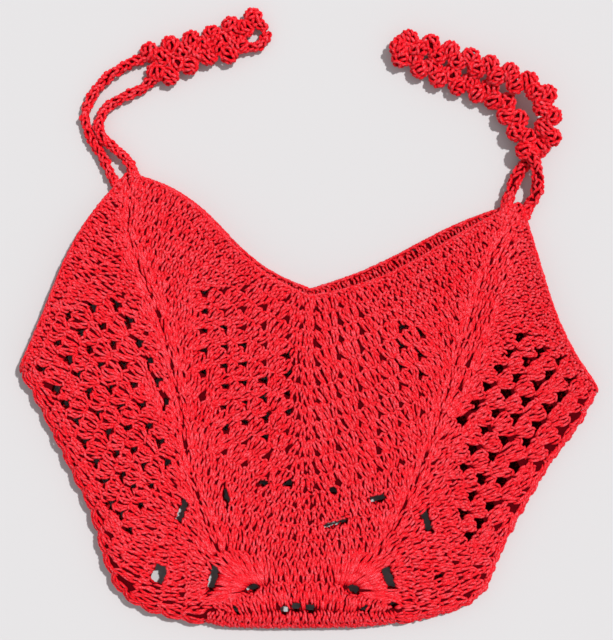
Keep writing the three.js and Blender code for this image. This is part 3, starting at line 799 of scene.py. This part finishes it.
def on_fabric(strokes, back, inside=False):
    table = np.array(strokes, float)
    start, end = clear_of_slots(table[:, 0:2].copy(), table[:, 2:4].copy())
    (low, low_facing), (high, high_facing) = raised(start, back), raised(end, back)
    pressed = back and not inside
    out = BACK_OUT + PRESSED * table[:, 4] if pressed else OUT + table[:, 4]
    out = (out * (-1 if inside else 1))[:, None]
    facing = unit(low_facing + high_facing) * (-1 if inside else 1)
    return low + low_facing * out, high + high_facing * out, facing, table[:, 5], table[:, 6]


print("slots to keep clear:", len(SLOTS))

# %% [markdown]
# ## Rows of stitches
# A row is divided at its gaps into groups of stitches. The edges of each group are found first
# on the row's lower line, and then on its upper one, where the group is wider because the gap
# closes. At a fold the last gap is narrower, because the row turns over to the back there.

# %% Divide a row into groups
# how far apart the heads beside a gap are, and how far a gap leans along its row
HEAD_OPEN = {"left_side": 0.0, "right_side": 1.2, "front_left": 0.0, "front_right": -0.3}
LEAN = {"left_side": 0, "right_side": 0, "front_left": 1.6, "front_right": 1.6}
# the first head off the corner line, and the last gap's top off the end of the row
HEAD_INSET, TOP_INSET = 0.8, 2.5
# how wide a gap is at a fold, and how far from the fold it is narrower
FOLD_GAP = 0.45
FOLD_NEAR = (5, 13)
# how far from the start and the end of a row its stitches keep their distance from it
START_NEAR = (4, 25)
END_NEAR = {"left_side": (1, 9), "right_side": (1, 9), "front_left": (1, 8),
            "front_right": (1, 8)}


def over(name, low, high, run, upward):
    """Where a stitch that starts on one line meets the next. It stands square to its row, but
    at the two ends of a row it keeps its distance from the end instead."""
    here, there = (low, high) if upward else (high, low)
    square = there.nearest(here.at(run))
    near_start, rest = 1 - smooth(run, *START_NEAR), here.length - run
    near_end = 1 - smooth(rest, *END_NEAR[name])
    met = square + (np.minimum(square, run) - square) * near_start
    return met + (np.maximum(there.length - rest, 0) - met) * near_end


def groups_of(name, row, back):
    """For each group, where its feet and heads start and end."""
    low, high = lines[name, row, back], lines[name, row + 1, back]
    found, opens = gaps_of(name, row, back)
    gaps = low.nearest(found) if len(found) else np.zeros(0)
    opens, gaps = opens[np.argsort(gaps)], np.sort(gaps)
    if name in SIDE_ROWS:
        opens = opens * (FOLD_GAP + (1 - FOLD_GAP) * smooth(low.length - gaps, *FOLD_NEAR))
    tops = over(name, low, high, gaps, True) + LEAN[name] if len(gaps) else gaps
    tops = np.minimum(tops, high.length - TOP_INSET)
    apart = np.full(len(gaps), HEAD_OPEN[name])
    return np.column_stack([[0, *(gaps + opens)], [*(gaps - opens), low.length],
                            [HEAD_INSET, *(tops + apart)], [*(tops - apart), high.length]])


print("groups in a row of the mesh, in millimetres:")
print(groups_of("left_side", 8, False).round(1))

# %% [markdown]
# ## Groups of stitches
# In the mesh a group is a cluster: three stitches whose feet sit close together and whose heads
# spread, which leaves the gap at their feet. Anywhere else, heads stand at an even pitch on the
# upper line and each finds its foot below, and the feet beside a gap keep off it.

# %% Fill one row
STITCH_PITCH = 5.1
# a group narrower than this is left out, and a wider one than a cluster is plain
NARROWEST = 2
WIDEST_CLUSTER = 22
# how far inside its group the outermost foot stands, and how far that moves the feet beside it
FOOT_INSET = 1.3
FOOT_SHIFT = 20
# the first foot's place off the corner line, how much further the next ones are, and the most
SPINE, SPINE_STEP, SPINE_MOST = 2.6, 1.1, 7
# a stitch's least width at the foot, its width there if it stands alone, the most at the head
FOOT_WIDTH, LONE_WIDTH, HEAD_WIDTH = 2.2, 3, 6.5
# how much the middle stitch of a cluster stands out
CLUSTER_LIFT = 0.5


def cluster(foot_from, foot_to, head_from, head_to):
    at = (np.arange(3) + 0.5) / 3
    feet = foot_from + (foot_to - foot_from) * at
    heads = head_from + (head_to - head_from) * at
    spreads = (heads - feet) - (heads[1] - feet[1])
    widths = (foot_to - foot_from) / 3, (head_to - head_from) / 3
    return feet, heads, widths, spreads, [0, CLUSTER_LIFT, 0], LONG_LEGS


def plain_group(name, low, high, ends, first, last):
    foot_from, foot_to, head_from, head_to = ends
    width, foot_width = head_to - head_from, foot_to - foot_from
    count = max(1, round(max(width, foot_width if not first else 0) / STITCH_PITCH))
    heads = head_from + width * (np.arange(count) + 0.5) / count
    feet = over(name, low, high, heads, False)
    inset = FOOT_INSET + 0.1
    if not first:
        near = 1 - smooth(heads - head_from, 0, FOOT_SHIFT)
        feet = feet + (foot_from + inset - feet[0]) * near
    if not last:
        near = 1 - smooth(head_to - heads, 0, FOOT_SHIFT)
        feet = feet + (foot_to - inset - feet[-1]) * near
    feet = np.clip(feet, foot_from + FOOT_INSET, max(foot_to - FOOT_INSET, foot_from + inset))
    if first:
        feet = np.maximum(feet, np.minimum(SPINE + np.arange(count) * SPINE_STEP, SPINE_MOST))
    step = np.median(np.diff(feet)) if count > 1 else LONE_WIDTH
    widths = max(step, FOOT_WIDTH), min(width / count, HEAD_WIDTH)
    return feet, heads, widths, [0] * count, [0] * count, TALL


def fill_row(name, row, back):
    """Feet, heads, widths, spreads, lifts and the recipe, for each group of stitches."""
    low, high = lines[name, row, back], lines[name, row + 1, back]
    edges = groups_of(name, row, back)
    filled = []
    for i, ends in enumerate(edges):
        first, last = i == 0, i == len(edges) - 1
        foot_width, width = ends[1] - ends[0], ends[3] - ends[2]
        if max(width, foot_width) < NARROWEST:
            continue
        if not first and not last and width < WIDEST_CLUSTER:
            filled.append(cluster(*ends))
        else:
            filled.append(plain_group(name, low, high, ends, first, last))
    return low, high, filled


print("stitches in the groups of that row:",
      [len(group[0]) for group in fill_row("left_side", 8, False)[2]])

# %% [markdown]
# ## The panels
# Each half panel is one piece, front and back apart. The back lies underneath, so its stitches
# have fewer strokes with fewer faces. Rows are worked from alternate sides, which mirrors every
# other one, apart from the odd stitch that keeps its own way.

# %% Lay the half panels
# how soon the clusters of each half panel lean out, which arches the gap
CLOSES = {"left_side": 0.6, "right_side": 0.9, "front_left": 0.7, "front_right": 0.7}
# how far the posts at a fold bulge out between the rows, and how near the fold a post is
SCALLOP = {"left_side": 1.6, "right_side": 0.8, "front_left": 0, "front_right": 0}
SCALLOP_REACH = 12


def half_panel(name, back, rows=range(ROUNDS)):
    strokes = []
    for row in rows:
        low, high, groups = fill_row(name, row, back)
        for feet, heads, widths, spreads, lifts, recipe in groups:
            foot, head = low.at(feet), high.at(heads)
            across = unit(low.way_at(feet) + high.way_at(heads))
            near_fold = 1 - smooth(high.length - heads, 0, SCALLOP_REACH)
            bows = SCALLOP[name] * near_fold * (row < ROUNDS - 2)
            for i in range(len(feet)):
                stitch = Stitch(foot[i], head[i], across[i], widths, spreads[i],
                                CLOSES[name], lifts[i], bows[i])
                mirrored = (row % 2 == 1) != (rng.random() < WILFUL)
                strokes += strokes_of(stitch, UNDER if back else recipe, mirrored)
    return strokes


PIECE_NAMES = {("left_side", False): "left_side_front", ("left_side", True): "left_side_back",
               ("front_left", False): "front_left", ("front_left", True): "back_left",
               ("front_right", False): "front_right", ("front_right", True): "back_right",
               ("right_side", False): "right_side_front", ("right_side", True): "right_side_back"}
pieces = []
for (name, back), piece_name in PIECE_NAMES.items():
    strokes = on_fabric(half_panel(name, back), back)
    versions = plain_strokes if back else full_strokes
    pieces.append(lay(piece_name + "_yarn", strokes, red_yarn, versions))

# %% [markdown]
# ## Inside the mouth
# The front edge of the mouth hangs a little lower than the back edge, so the inner side of the
# back shows there. The last two rows get strokes on that side too.

# %% Lay the inner side of the mouth
for half in ("left", "right"):
    strokes = []
    for name in (half + "_side", "front_" + half):
        strokes += half_panel(name, True, (ROUNDS - 2, ROUNDS - 1))
    pieces.append(lay(f"inside_{half}_yarn", on_fabric(strokes, True, True), red_yarn,
                      plain_strokes))

# %% [markdown]
# ## The rim
# The mouth ends in a row of short stitches. Seen from above it is a line of slanted strokes, and
# seen from the side it closes the edge of the fabric.

# %% Lay the rim
RIM_STEP = 2.6
# lift over the edge, slant and turn of the three strokes of a stitch: outside, edge and inside
RIM_STROKES = ((1.25, 0.8, 0.9), (0.0, 0.5, 0.0), (-1.25, -0.8, -0.9))
# how far the rim's middle lies beyond the fabric's edge, how far strokes stray, how stout they are
RIM_OUT = 0.4
RIM_JITTER = 0.15
RIM_STOUT = (0.9, 1.05)


def rim(back):
    starts, ends, facings = [], [], []
    for name in HALVES:
        line = lines[name, ROUNDS, back]
        count = round(line.length / RIM_STEP)
        run = (np.arange(count) + 0.5) / count * line.length
        way = line.way_at(run)
        outward = np.stack([way[:, 1], -way[:, 0]], -1)
        outward *= np.sign(outward[:, 1:])
        middle, facing = raised(line.at(run) + outward * RIM_OUT, back)
        ahead = np.column_stack([way, np.zeros(count)])
        out = np.column_stack([outward, np.zeros(count)])
        for lift, slant, turn in RIM_STROKES:
            start = middle + facing * (lift - slant) - ahead * RIM_STEP + out * 0.5
            end = middle + facing * (lift + slant * 0.2) + ahead * RIM_STEP
            end += out * (0.9 - abs(lift) * 0.5)
            starts.append(start + rng.normal(0, RIM_JITTER, start.shape))
            ends.append(end + rng.normal(0, RIM_JITTER, end.shape))
            facings.append(unit(out + facing * turn))
    count = sum(len(part) for part in starts)
    return (np.vstack(starts), np.vstack(ends), np.vstack(facings),
            rng.uniform(*RIM_STOUT, count), rng.integers(0, 3, count))


pieces.append(lay("front_rim_yarn", rim(False), red_yarn))
pieces.append(lay("back_rim_yarn", rim(True), red_yarn, plain_strokes))

# %% [markdown]
# ## The base
# The rounds start from an oval base, of which the front shows a band: three shells, each a fan
# of tall stitches from one hole, then a row of plain stitches and a row that turns under at the
# fold. Each band is laid between two lines, from its feet to its heads.

# %% Lay the bands of the base
# feet, heads and number of stitches
BASE_BANDS = [
    ([(-48, -193), (-46, -188), (-42, -184.5), (-35, -184), (-28, -184)],
     [(-71, -202), (-75, -187), (-69, -171), (-59, -163), (-42, -163.5), (-27, -165)], 17),
    ([(-27, -184.5), (-5, -183.5), (18, -184.5)], [(-27, -166), (-5, -168), (17, -165.5)], 9),
    ([(19, -184), (26, -184), (32, -184.5), (37, -187), (39, -193)],
     [(17, -165), (30, -164), (44, -163), (53, -167), (61, -183), (64, -200)], 16),
    ([(-60, -204), (-44, -204.5), (-30, -203.5), (-20, -201.5), (-5, -201), (10, -201.5),
      (22, -203.5), (38, -204.5), (54, -204)],
     [(-68, -197), (-48, -193), (-34, -188), (-22, -185), (-5, -184), (12, -185),
      (25, -188), (40, -193), (60, -197)], 26),
    ([(-69, -204), (-44, -204.5), (-5, -203), (38, -204.5), (62, -204)],
     [(-71, -211), (-40, -214), (-5, -214.7), (30, -214), (62, -211)], 27),
]
# the share of the base's stitches that lean the other way
BASE_MIRRORED = 0.3


def along_curve(places, count):
    points = curve_through(places, 0.5)
    run = run_along(points)
    return read_off(points, run, (np.arange(count) + 0.5) / count * run[-1])


def base_patch(back):
    strokes = []
    for feet, heads, count in BASE_BANDS:
        low, high = along_curve(feet, count), along_curve(heads, count)
        row = unit(np.gradient(high, axis=0))
        widths = [np.linalg.norm(np.diff(line, axis=0), axis=1).mean() for line in (low, high)]
        for i in range(count):
            stitch = Stitch(low[i], high[i], row[i], (max(widths[0], 2), widths[1]))
            strokes += strokes_of(stitch, UNDER if back else TALL, rng.random() < BASE_MIRRORED)
    return on_fabric(strokes, back)


pieces.append(lay("base_front_yarn", base_patch(False), red_yarn))
pieces.append(lay("base_back_yarn", base_patch(True), red_yarn, plain_strokes))

# %% [markdown]
# ## The folds
# Along a side fold the rows pass from the front to the back, so their last posts stand on the
# edge itself and bulge out between the rows, which gives the bag its scalloped outline. Along
# the base the posts run over the edge from front to back.

# %% Lay the posts on the edges
# half the height that posts cover on an edge, the lowest that yarn goes, and its roundness
EDGE_HALF = 4.4
EDGE_LOW = 2.6
EDGE_ROUND = 0.13
EDGE_JITTER = 0.35
# how far a stroke of an edge reaches past its ends, as a share of the stitch
EDGE_OVER = 0.06
# how far the posts bulge out from each fold
EDGE_BULGE = {"left": 3.7, "right": 1.7, "base": 0.6}


def on_edge(fold, share, level, bulge):
    """Places on the rounded edge, at a share of the fold and a level above its middle."""
    rounds = np.clip(share * ROUNDS, 0.05, ROUNDS - 0.05)
    at = fold.at(rounds)
    way = unit(fold.at(rounds + 0.05) - fold.at(rounds - 0.05))
    out = np.stack([way[:, 1], -way[:, 0]], -1)
    # the side away from a place in the middle of the bag
    out *= np.sign((out * (at + [0, 60])).sum(-1))[:, None]
    at = at + out * (bulge - WALL / 2 + OUT - EDGE_ROUND * level**2)[:, None]
    facing = np.column_stack([out, level * 2 * EDGE_ROUND])
    return np.column_stack([at, np.maximum(FOLD_HEIGHT + level, EDGE_LOW)]), unit(facing)


def edge_strokes(fold, kind):
    length = run_along(fold.points)[-1]
    upright = kind == "base"
    count = round(length / STITCH_PITCH) if upright else ROUNDS
    ends, looks = [], []
    for i in range(count):
        for k in (0,) if upright else (0.5, -0.5):
            for up, across, up_end, across_end, lift, version in TALL:
                jitter = rng.normal(0, EDGE_JITTER, (2, 2))
                for u, a, (aside, higher) in ((up - EDGE_OVER, across, jitter[0]),
                                              (up_end + EDGE_OVER, across_end, jitter[1])):
                    if upright:
                        share, level, bulge = (i + 0.5 + a) / count, (u - 0.5) * 2, 0.5
                    else:
                        share, level = (i + u) / count, (k + a * 0.5) * 1.8
                        bulge = math.sin(math.pi * min(max(u, 0), 1))
                    ends.append((share + aside / length, level * EDGE_HALF + higher,
                                 bulge * EDGE_BULGE[kind] + lift))
                looks.append((rng.uniform(*STOUT), version))
    ends, (stout, version) = np.array(ends), np.array(looks).T
    start, low = on_edge(fold, *ends[0::2].T)
    end, high = on_edge(fold, *ends[1::2].T)
    return start, end, unit(low + high), stout, version


for kind, fold in (("left", LEFT_FOLD), ("right", RIGHT_FOLD), ("base", BASE_FOLD)):
    pieces.append(lay(kind + "_edge_yarn", edge_strokes(fold, kind), red_yarn, plain_strokes))

# %% [markdown]
# ## Handles
# A handle is one long strap, doubled, whose two strands cross and rise off the ground in places.
# Each strand is a smooth curve in space through a few places. It is a plain cord near the bag
# and a row of puffs further on, and a short tail of cord runs from it onto the peak.

# %% Lines of the handle strands
# cord radius, where the puffs start and end along the strand, and its places
STRANDS = {
    "left_handle": [
        (3.4, 0.6, 0.95, [
            (-128, 88, 5), (-133, 94, 5), (-139, 103, 4.4), (-145, 116, 3.9), (-152, 128, 3.6),
            (-157, 142, 4.2), (-154, 154, 3.6), (-144, 168, 3.5), (-127, 180, 3.5),
            (-110, 186, 4.4), (-94, 191, 5.4), (-78, 195, 5.4), (-63, 199, 5.4),
            (-51, 205, 5.4), (-38, 210, 5.2), (-29, 205, 4)]),
        (3.4, 0.56, 0.87, [
            (-117, 94, 5.4), (-122, 103, 5.6), (-127, 113, 6.2), (-136, 121, 7),
            (-144, 128, 7.4), (-147, 138, 6.4), (-143, 148, 4.6), (-132, 156, 3.6),
            (-117, 163, 3.8), (-107, 171, 5.4), (-95, 176, 5.6), (-81, 184, 5.6),
            (-69, 189, 5.6), (-56, 190, 5.4), (-44, 192, 4.4), (-33, 194, 3.6),
            (-28, 203, 3.8)])],
    "right_handle": [
        (4.2, 0.3, 1, [
            (152, 72, 5.2), (155, 80, 6), (161, 89, 8), (161, 103, 11), (158, 113, 13),
            (152, 126, 11), (145, 141, 9), (137, 152, 7), (129, 160, 6), (118, 163, 5.8),
            (106, 168, 5.8), (93, 173, 5.8), (81, 179, 5.8), (70, 184, 6.2), (64, 192, 8)]),
        (4.2, 0.28, 1, [
            (138, 75, 5.4), (141, 84, 7), (145, 95, 6), (151, 107, 5.2), (160, 115, 5.4),
            (167, 122, 9), (168, 134, 14), (167, 147, 17), (162, 160, 17), (151, 165, 15),
            (137, 172, 13), (122, 178, 11), (107, 184, 9), (92, 189, 8), (76, 194, 8.4),
            (64, 194, 9)])],
}
# where each strand runs onto the peak
TAILS = {
    "left_handle": [[(-124, 78, 7.4), (-129, 88, 7), (-136, 98, 5.4)],
                    [(-116, 80, 8), (-117, 92, 7.4), (-124, 107, 6)]],
    "right_handle": [[(147, 60, 7.4), (152, 71, 7), (157, 83, 6.6)],
                     [(139, 62, 8), (138, 75, 7.4), (143, 88, 7)]],
}
TAIL_RADIUS = 3.1


class Strand:
    """A handle's strand in space. A share of 0 is its start at the bag and 1 its end."""

    def __init__(self, places):
        self.points = curve_through(places, 0.5)
        self.run = run_along(self.points)
        self.length = self.run[-1]

    def at(self, share):
        return read_off(self.points, self.run, share * self.length)

    def ahead(self, share):
        return unit(self.at(np.minimum(share + 0.01, 1)) - self.at(np.maximum(share - 0.01, 0)))


for handle, strands in STRANDS.items():
    print(handle, "strands, in millimetres:", [round(Strand(s[3]).length) for s in strands])

# %% [markdown]
# ## Cords
# The plain parts are cords of V-shaped stitches. Strokes wind around the cord by turns to the
# left and to the right, which gives the Vs, and the cord swells a little at every few stitches.

# %% Strokes around a cord
CORD_STITCH = 3.2
CORD_AROUND = 6
CORD_LUMP = 0.35
# half the length of a stroke, half the angle that it winds around, and its depth in the cord
CORD_REACH = 2.6
CORD_SLANT = math.radians(26)
CORD_SINK = 0.7
CORD_STOUT = (1.0, 1.35)
# a cord's surface stays this far above the ground
CORD_CLEAR = 0.9


def frame_of(line, share):
    ahead = line.ahead(share)
    aside = unit(np.array([-ahead[1], ahead[0], 0]))
    return line.at(share), ahead, aside, np.cross(ahead, aside)


def cord_strokes(line, radius, start, end):
    strokes = []
    count = round((end - start) * line.length / CORD_STITCH)
    for i in range(count):
        at, ahead, aside, up = frame_of(line, start + (i + 0.5) / count * (end - start))
        at[2] = max(at[2], radius + CORD_CLEAR)
        for k in range(CORD_AROUND):
            turn = 2 * math.pi * (k + 0.5 * (i % 2)) / CORD_AROUND + rng.normal(0, 0.2)
            slant = CORD_SLANT * (1 if k % 2 else -1) + rng.normal(0, 0.3)
            ways = [math.cos(t) * aside + math.sin(t) * up for t in (turn - slant, turn + slant)]
            lump = CORD_LUMP * math.sin(i * 2.4)
            reach = radius - CORD_SINK + lump + rng.normal(0, 0.15)
            strokes.append((at + ways[0] * reach - ahead * CORD_REACH,
                            at + ways[1] * reach + ahead * CORD_REACH,
                            unit(ways[0] + ways[1]), rng.uniform(*CORD_STOUT), FLAT))
    return strokes


first_strand = Strand(STRANDS["left_handle"][0][3])
print("a strand leaves the bag towards", frame_of(first_strand, 0.0)[1].round(2))

# %% [markdown]
# ## Puffs
# A puff is a bundle of loops drawn out to the same height and gathered at both ends, like a small
# pumpkin, and puffs lean to alternate sides of the strand. Their strokes start from places spread
# evenly over a flattened ball, and run along the puff's own axis, with some stray ones.

# %% Strokes over a puff
PUFF_RADIUS = 7.0
PUFF_FLAT = 0.72
PUFF_STEP = 7.4
PUFF_OFFSET = 3.0
PUFF_STROKES = 30
# the lowest that a puff's middle lies
PUFF_LOW = 6.2
# how far the loops lean along the strand and aside, how far they stray, and their depth
PUFF_LEAN = (0.5, 0.85)
PUFF_STRAY = 0.5
PUFF_SINK, PUFF_BEND = 1.0, 0.7
# half the length of a stroke, and how stout it is
PUFF_REACH = (2.8, 3.6)
PUFF_STOUT = (1.15, 1.4)
# each turn by this angle spreads the strokes evenly
GOLDEN_TURN = 2.39996


def puff_spaces(line, start, end):
    return round((end - start) * line.length / PUFF_STEP)


def puff_strokes(line, start, end):
    strokes = []
    count = puff_spaces(line, start, end)
    for i in range(count + 1):
        at, ahead, aside, up = frame_of(line, start + (end - start) * i / count)
        side = 1 if i % 2 == 0 else -1
        at = at + aside * side * PUFF_OFFSET
        at[2] = max(at[2], PUFF_LOW)
        axis = unit(ahead * PUFF_LEAN[0] + aside * side * PUFF_LEAN[1])
        for k in range(PUFF_STROKES):
            level = 1 - 2 * (k + 0.5) / PUFF_STROKES
            turn = k * GOLDEN_TURN + i
            flat = math.sqrt(1 - level**2)
            way = unit(flat * math.cos(turn) * ahead + flat * math.sin(turn) * aside + level * up)
            grain = unit(axis + rng.normal(0, PUFF_STRAY, 3))
            grain = unit(grain - way * (grain @ way))
            centre = at + way * (PUFF_RADIUS - PUFF_SINK) * [1, 1, PUFF_FLAT] - way * PUFF_BEND
            reach = grain * rng.uniform(*PUFF_REACH)
            strokes.append((centre - reach, centre + reach, way, rng.uniform(*PUFF_STOUT), BULGED))
    return strokes


print("puffs on that strand:", puff_spaces(first_strand, *STRANDS["left_handle"][0][1:3]) + 1)

# %% [markdown]
# ## Laying the handles
# Each handle becomes one piece: for both strands the cord, the puffs and, where the strand goes
# on after them, cord again, and last the two tails on the peak.

# %% Lay the handles
handle_pieces = {}
for handle, strands in STRANDS.items():
    strokes = []
    for radius, start, end, places in strands:
        line = Strand(places)
        strokes += cord_strokes(line, radius, 0.0, start) + puff_strokes(line, start, end)
        if end < 1:
            strokes += cord_strokes(line, radius, end, 1.0)
    for places in TAILS[handle]:
        strokes += cord_strokes(Strand(places), TAIL_RADIUS, 0, 1)
    handle_pieces[handle] = [lay(handle + "_yarn", list(zip(*strokes)), red_yarn)]

# %% [markdown]
# ## Ground
# Between real stitches the eye meets more yarn, in shadow. A thin sheet inside the fabric
# gives that: it is the solid model's own wall, drawn in from both faces, so it has the same
# outline, folds and holes.

# %% Draw the wall in to a thin sheet
DRAWN_IN = 1.5
# a sharp corner would be drawn in further than its faces, up to this many times
MOST_AT_CORNERS = 1.3


def thin_wall(node):
    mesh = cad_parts[node].data.copy()
    shell = bmesh.new()
    shell.from_mesh(mesh)
    bmesh.ops.remove_doubles(shell, verts=shell.verts, dist=1e-6)
    shell.normal_update()
    for v in shell.verts:
        v.co -= v.normal * min(v.calc_shell_factor(), MOST_AT_CORNERS) * DRAWN_IN * MM
    shell.to_mesh(mesh)
    shell.free()
    mesh.materials.clear()
    return mesh


print("faces of the wall to draw in:", len(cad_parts["bag"].data.polygons))

# %% [markdown]
# ## Yarn in shadow
# What shows between the stitches is painted shade: a deep red, almost black. The same noise as on
# the yarn, but wider and with a stronger relief, breaks the sheet up so that it doesn't look like a
# smooth skin.

# %% Dress the thin sheets
# scale of the noise that stands for half-seen yarn, its two colours, its relief in metres
GRAIN = 700.0
# both colours are painted shade, the near black red of yarn that lies in deep shadow between
# stitches
SHADOW_DARK, SHADOW_LIGHT = (0.04, 0.0, 0.001, 1), (0.13, 0.0, 0.003, 1)
SHADOW_RELIEF = 0.0008


def ground_material():
    shader = Shader("yarn in shadow")
    grain = shader.noise(GRAIN, 3.0)
    inputs = shader.surface.inputs
    shader.feed(inputs["Base Color"], shader.blend(grain, SHADOW_DARK, SHADOW_LIGHT))
    inputs["Roughness"].default_value = 0.95
    inputs["Specular IOR Level"].default_value = 0.05
    shader.bump(grain, 0.6, SHADOW_RELIEF)
    return shader.material


shadow = ground_material()
grounds = {}
for node in ("bag", "left_handle", "right_handle"):
    grounds[node] = put(node + "_ground", thin_wall(node))
    grounds[node].data.materials.append(shadow)
    print(grounds[node].name, "has", len(grounds[node].data.polygons), "faces")

# %% [markdown]
# ## Joining the pieces to the solid model
# Nothing on the bag moves by itself, so every piece rides the one body, and each takes the place
# of the solid that it dresses. The cloth is two layers of 0.084 square metres, 0.168 in all, cut
# from a square of 0.42 metres.

# %% Ride and replace
for node, ground in grounds.items():
    for piece in [ground] + (pieces if node == "bag" else handle_pieces[node]):
        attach(piece, "root")
        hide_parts(node)
print("pieces on the bag:", len(pieces), "and on each handle: 1")

# %% [markdown]
# ## Floor
# A plain pale floor shows the outline and the holes of the mesh. It lies a little below the
# ground, so that the lowest strokes of the back stay clear of it.

# %% Lay the floor
FLOOR_HALF, FLOOR_LEVEL = 3, -0.0006
FLOOR_COLOUR = (0.60, 0.585, 0.585, 1)

floor_mesh = bpy.data.meshes.new("floor")
corners = [(x * FLOOR_HALF, y * FLOOR_HALF, FLOOR_LEVEL)
           for x, y in ((-1, -1), (1, -1), (1, 1), (-1, 1))]
floor_mesh.from_pydata(corners, [], [(0, 1, 2, 3)])
pale = Shader("pale floor")
pale.surface.inputs["Base Color"].default_value = FLOOR_COLOUR
pale.surface.inputs["Roughness"].default_value = 0.9
floor_mesh.materials.append(pale.material)
put("floor", floor_mesh)
print("the floor lies", -FLOOR_LEVEL / MM, "mm below the ground")

# %% [markdown]
# ## Camera
# The bag is seen from straight above, so the camera looks down at the middle of the picture. Its
# height follows from the lens and from how many millimetres each pixel of the picture spans.

# %% Set the camera
# millimetres to a pixel, the picture's size in pixels, and the height above ground that is in scale
PIXEL = 0.70
PICTURE = (613, 640)
LEVEL = 12
# the column of pixels that the plan's origin lies in, while its row is the middle one
ORIGIN_COLUMN = 307.5
CENTRE = ((PICTURE[0] / 2 - ORIGIN_COLUMN) * PIXEL - MIDDLE[0], -MIDDLE[1])
LENS, SENSOR = 85, 36

camera = put("camera", bpy.data.cameras.new("camera"))
camera.data.lens = LENS
camera.data.sensor_width = SENSOR
camera.location = (CENTRE[0] * MM, CENTRE[1] * MM,
                   (PICTURE[1] * PIXEL * LENS / SENSOR + LEVEL) * MM)
bpy.context.scene.camera = camera
print("camera height in metres:", round(camera.location.z, 3))

# %% [markdown]
# ## Light
# One sun from the upper right shows the relief of the stitches with narrow soft shadows, and a
# pale surround fills them. It stands steeply, so that it reaches the floor through the wider holes.

# %% Light the bag
SUN_STRENGTH, SUN_WIDTH = 3.2, math.radians(3)
SUN_WAY = (-0.45, -0.38, -1.0)
SURROUND_STRENGTH = 0.48
SURROUND_COLOUR = (0.95, 0.97, 1.0, 1)

key = put("key", bpy.data.lights.new("key", "SUN"))
key.data.energy = SUN_STRENGTH
key.data.angle = SUN_WIDTH
key.rotation_mode = "QUATERNION"
key.rotation_quaternion = Vector(SUN_WAY).to_track_quat("-Z", "Y")

world = bpy.data.worlds.new("surround")
bpy.context.scene.world = world
world.use_nodes = True
surround = world.node_tree.nodes["Background"]
surround.inputs["Color"].default_value = SURROUND_COLOUR
surround.inputs["Strength"].default_value = SURROUND_STRENGTH
steep = math.degrees(math.atan2(-SUN_WAY[2], math.hypot(*SUN_WAY[:2])))
print("the sun stands", round(steep), "degrees high")

# %% [markdown]
# ## Colour of the picture
# A strong red loses its depth under the default film-like view, which turns bright colours pale.
# The standard view keeps it.

# %% Choose the view
bpy.context.scene.view_settings.view_transform = "Standard"
print("the picture's view:", bpy.context.scene.view_settings.view_transform)

# %% [markdown]
# ## Last step
# The yarn stands a little proud of the solid model.
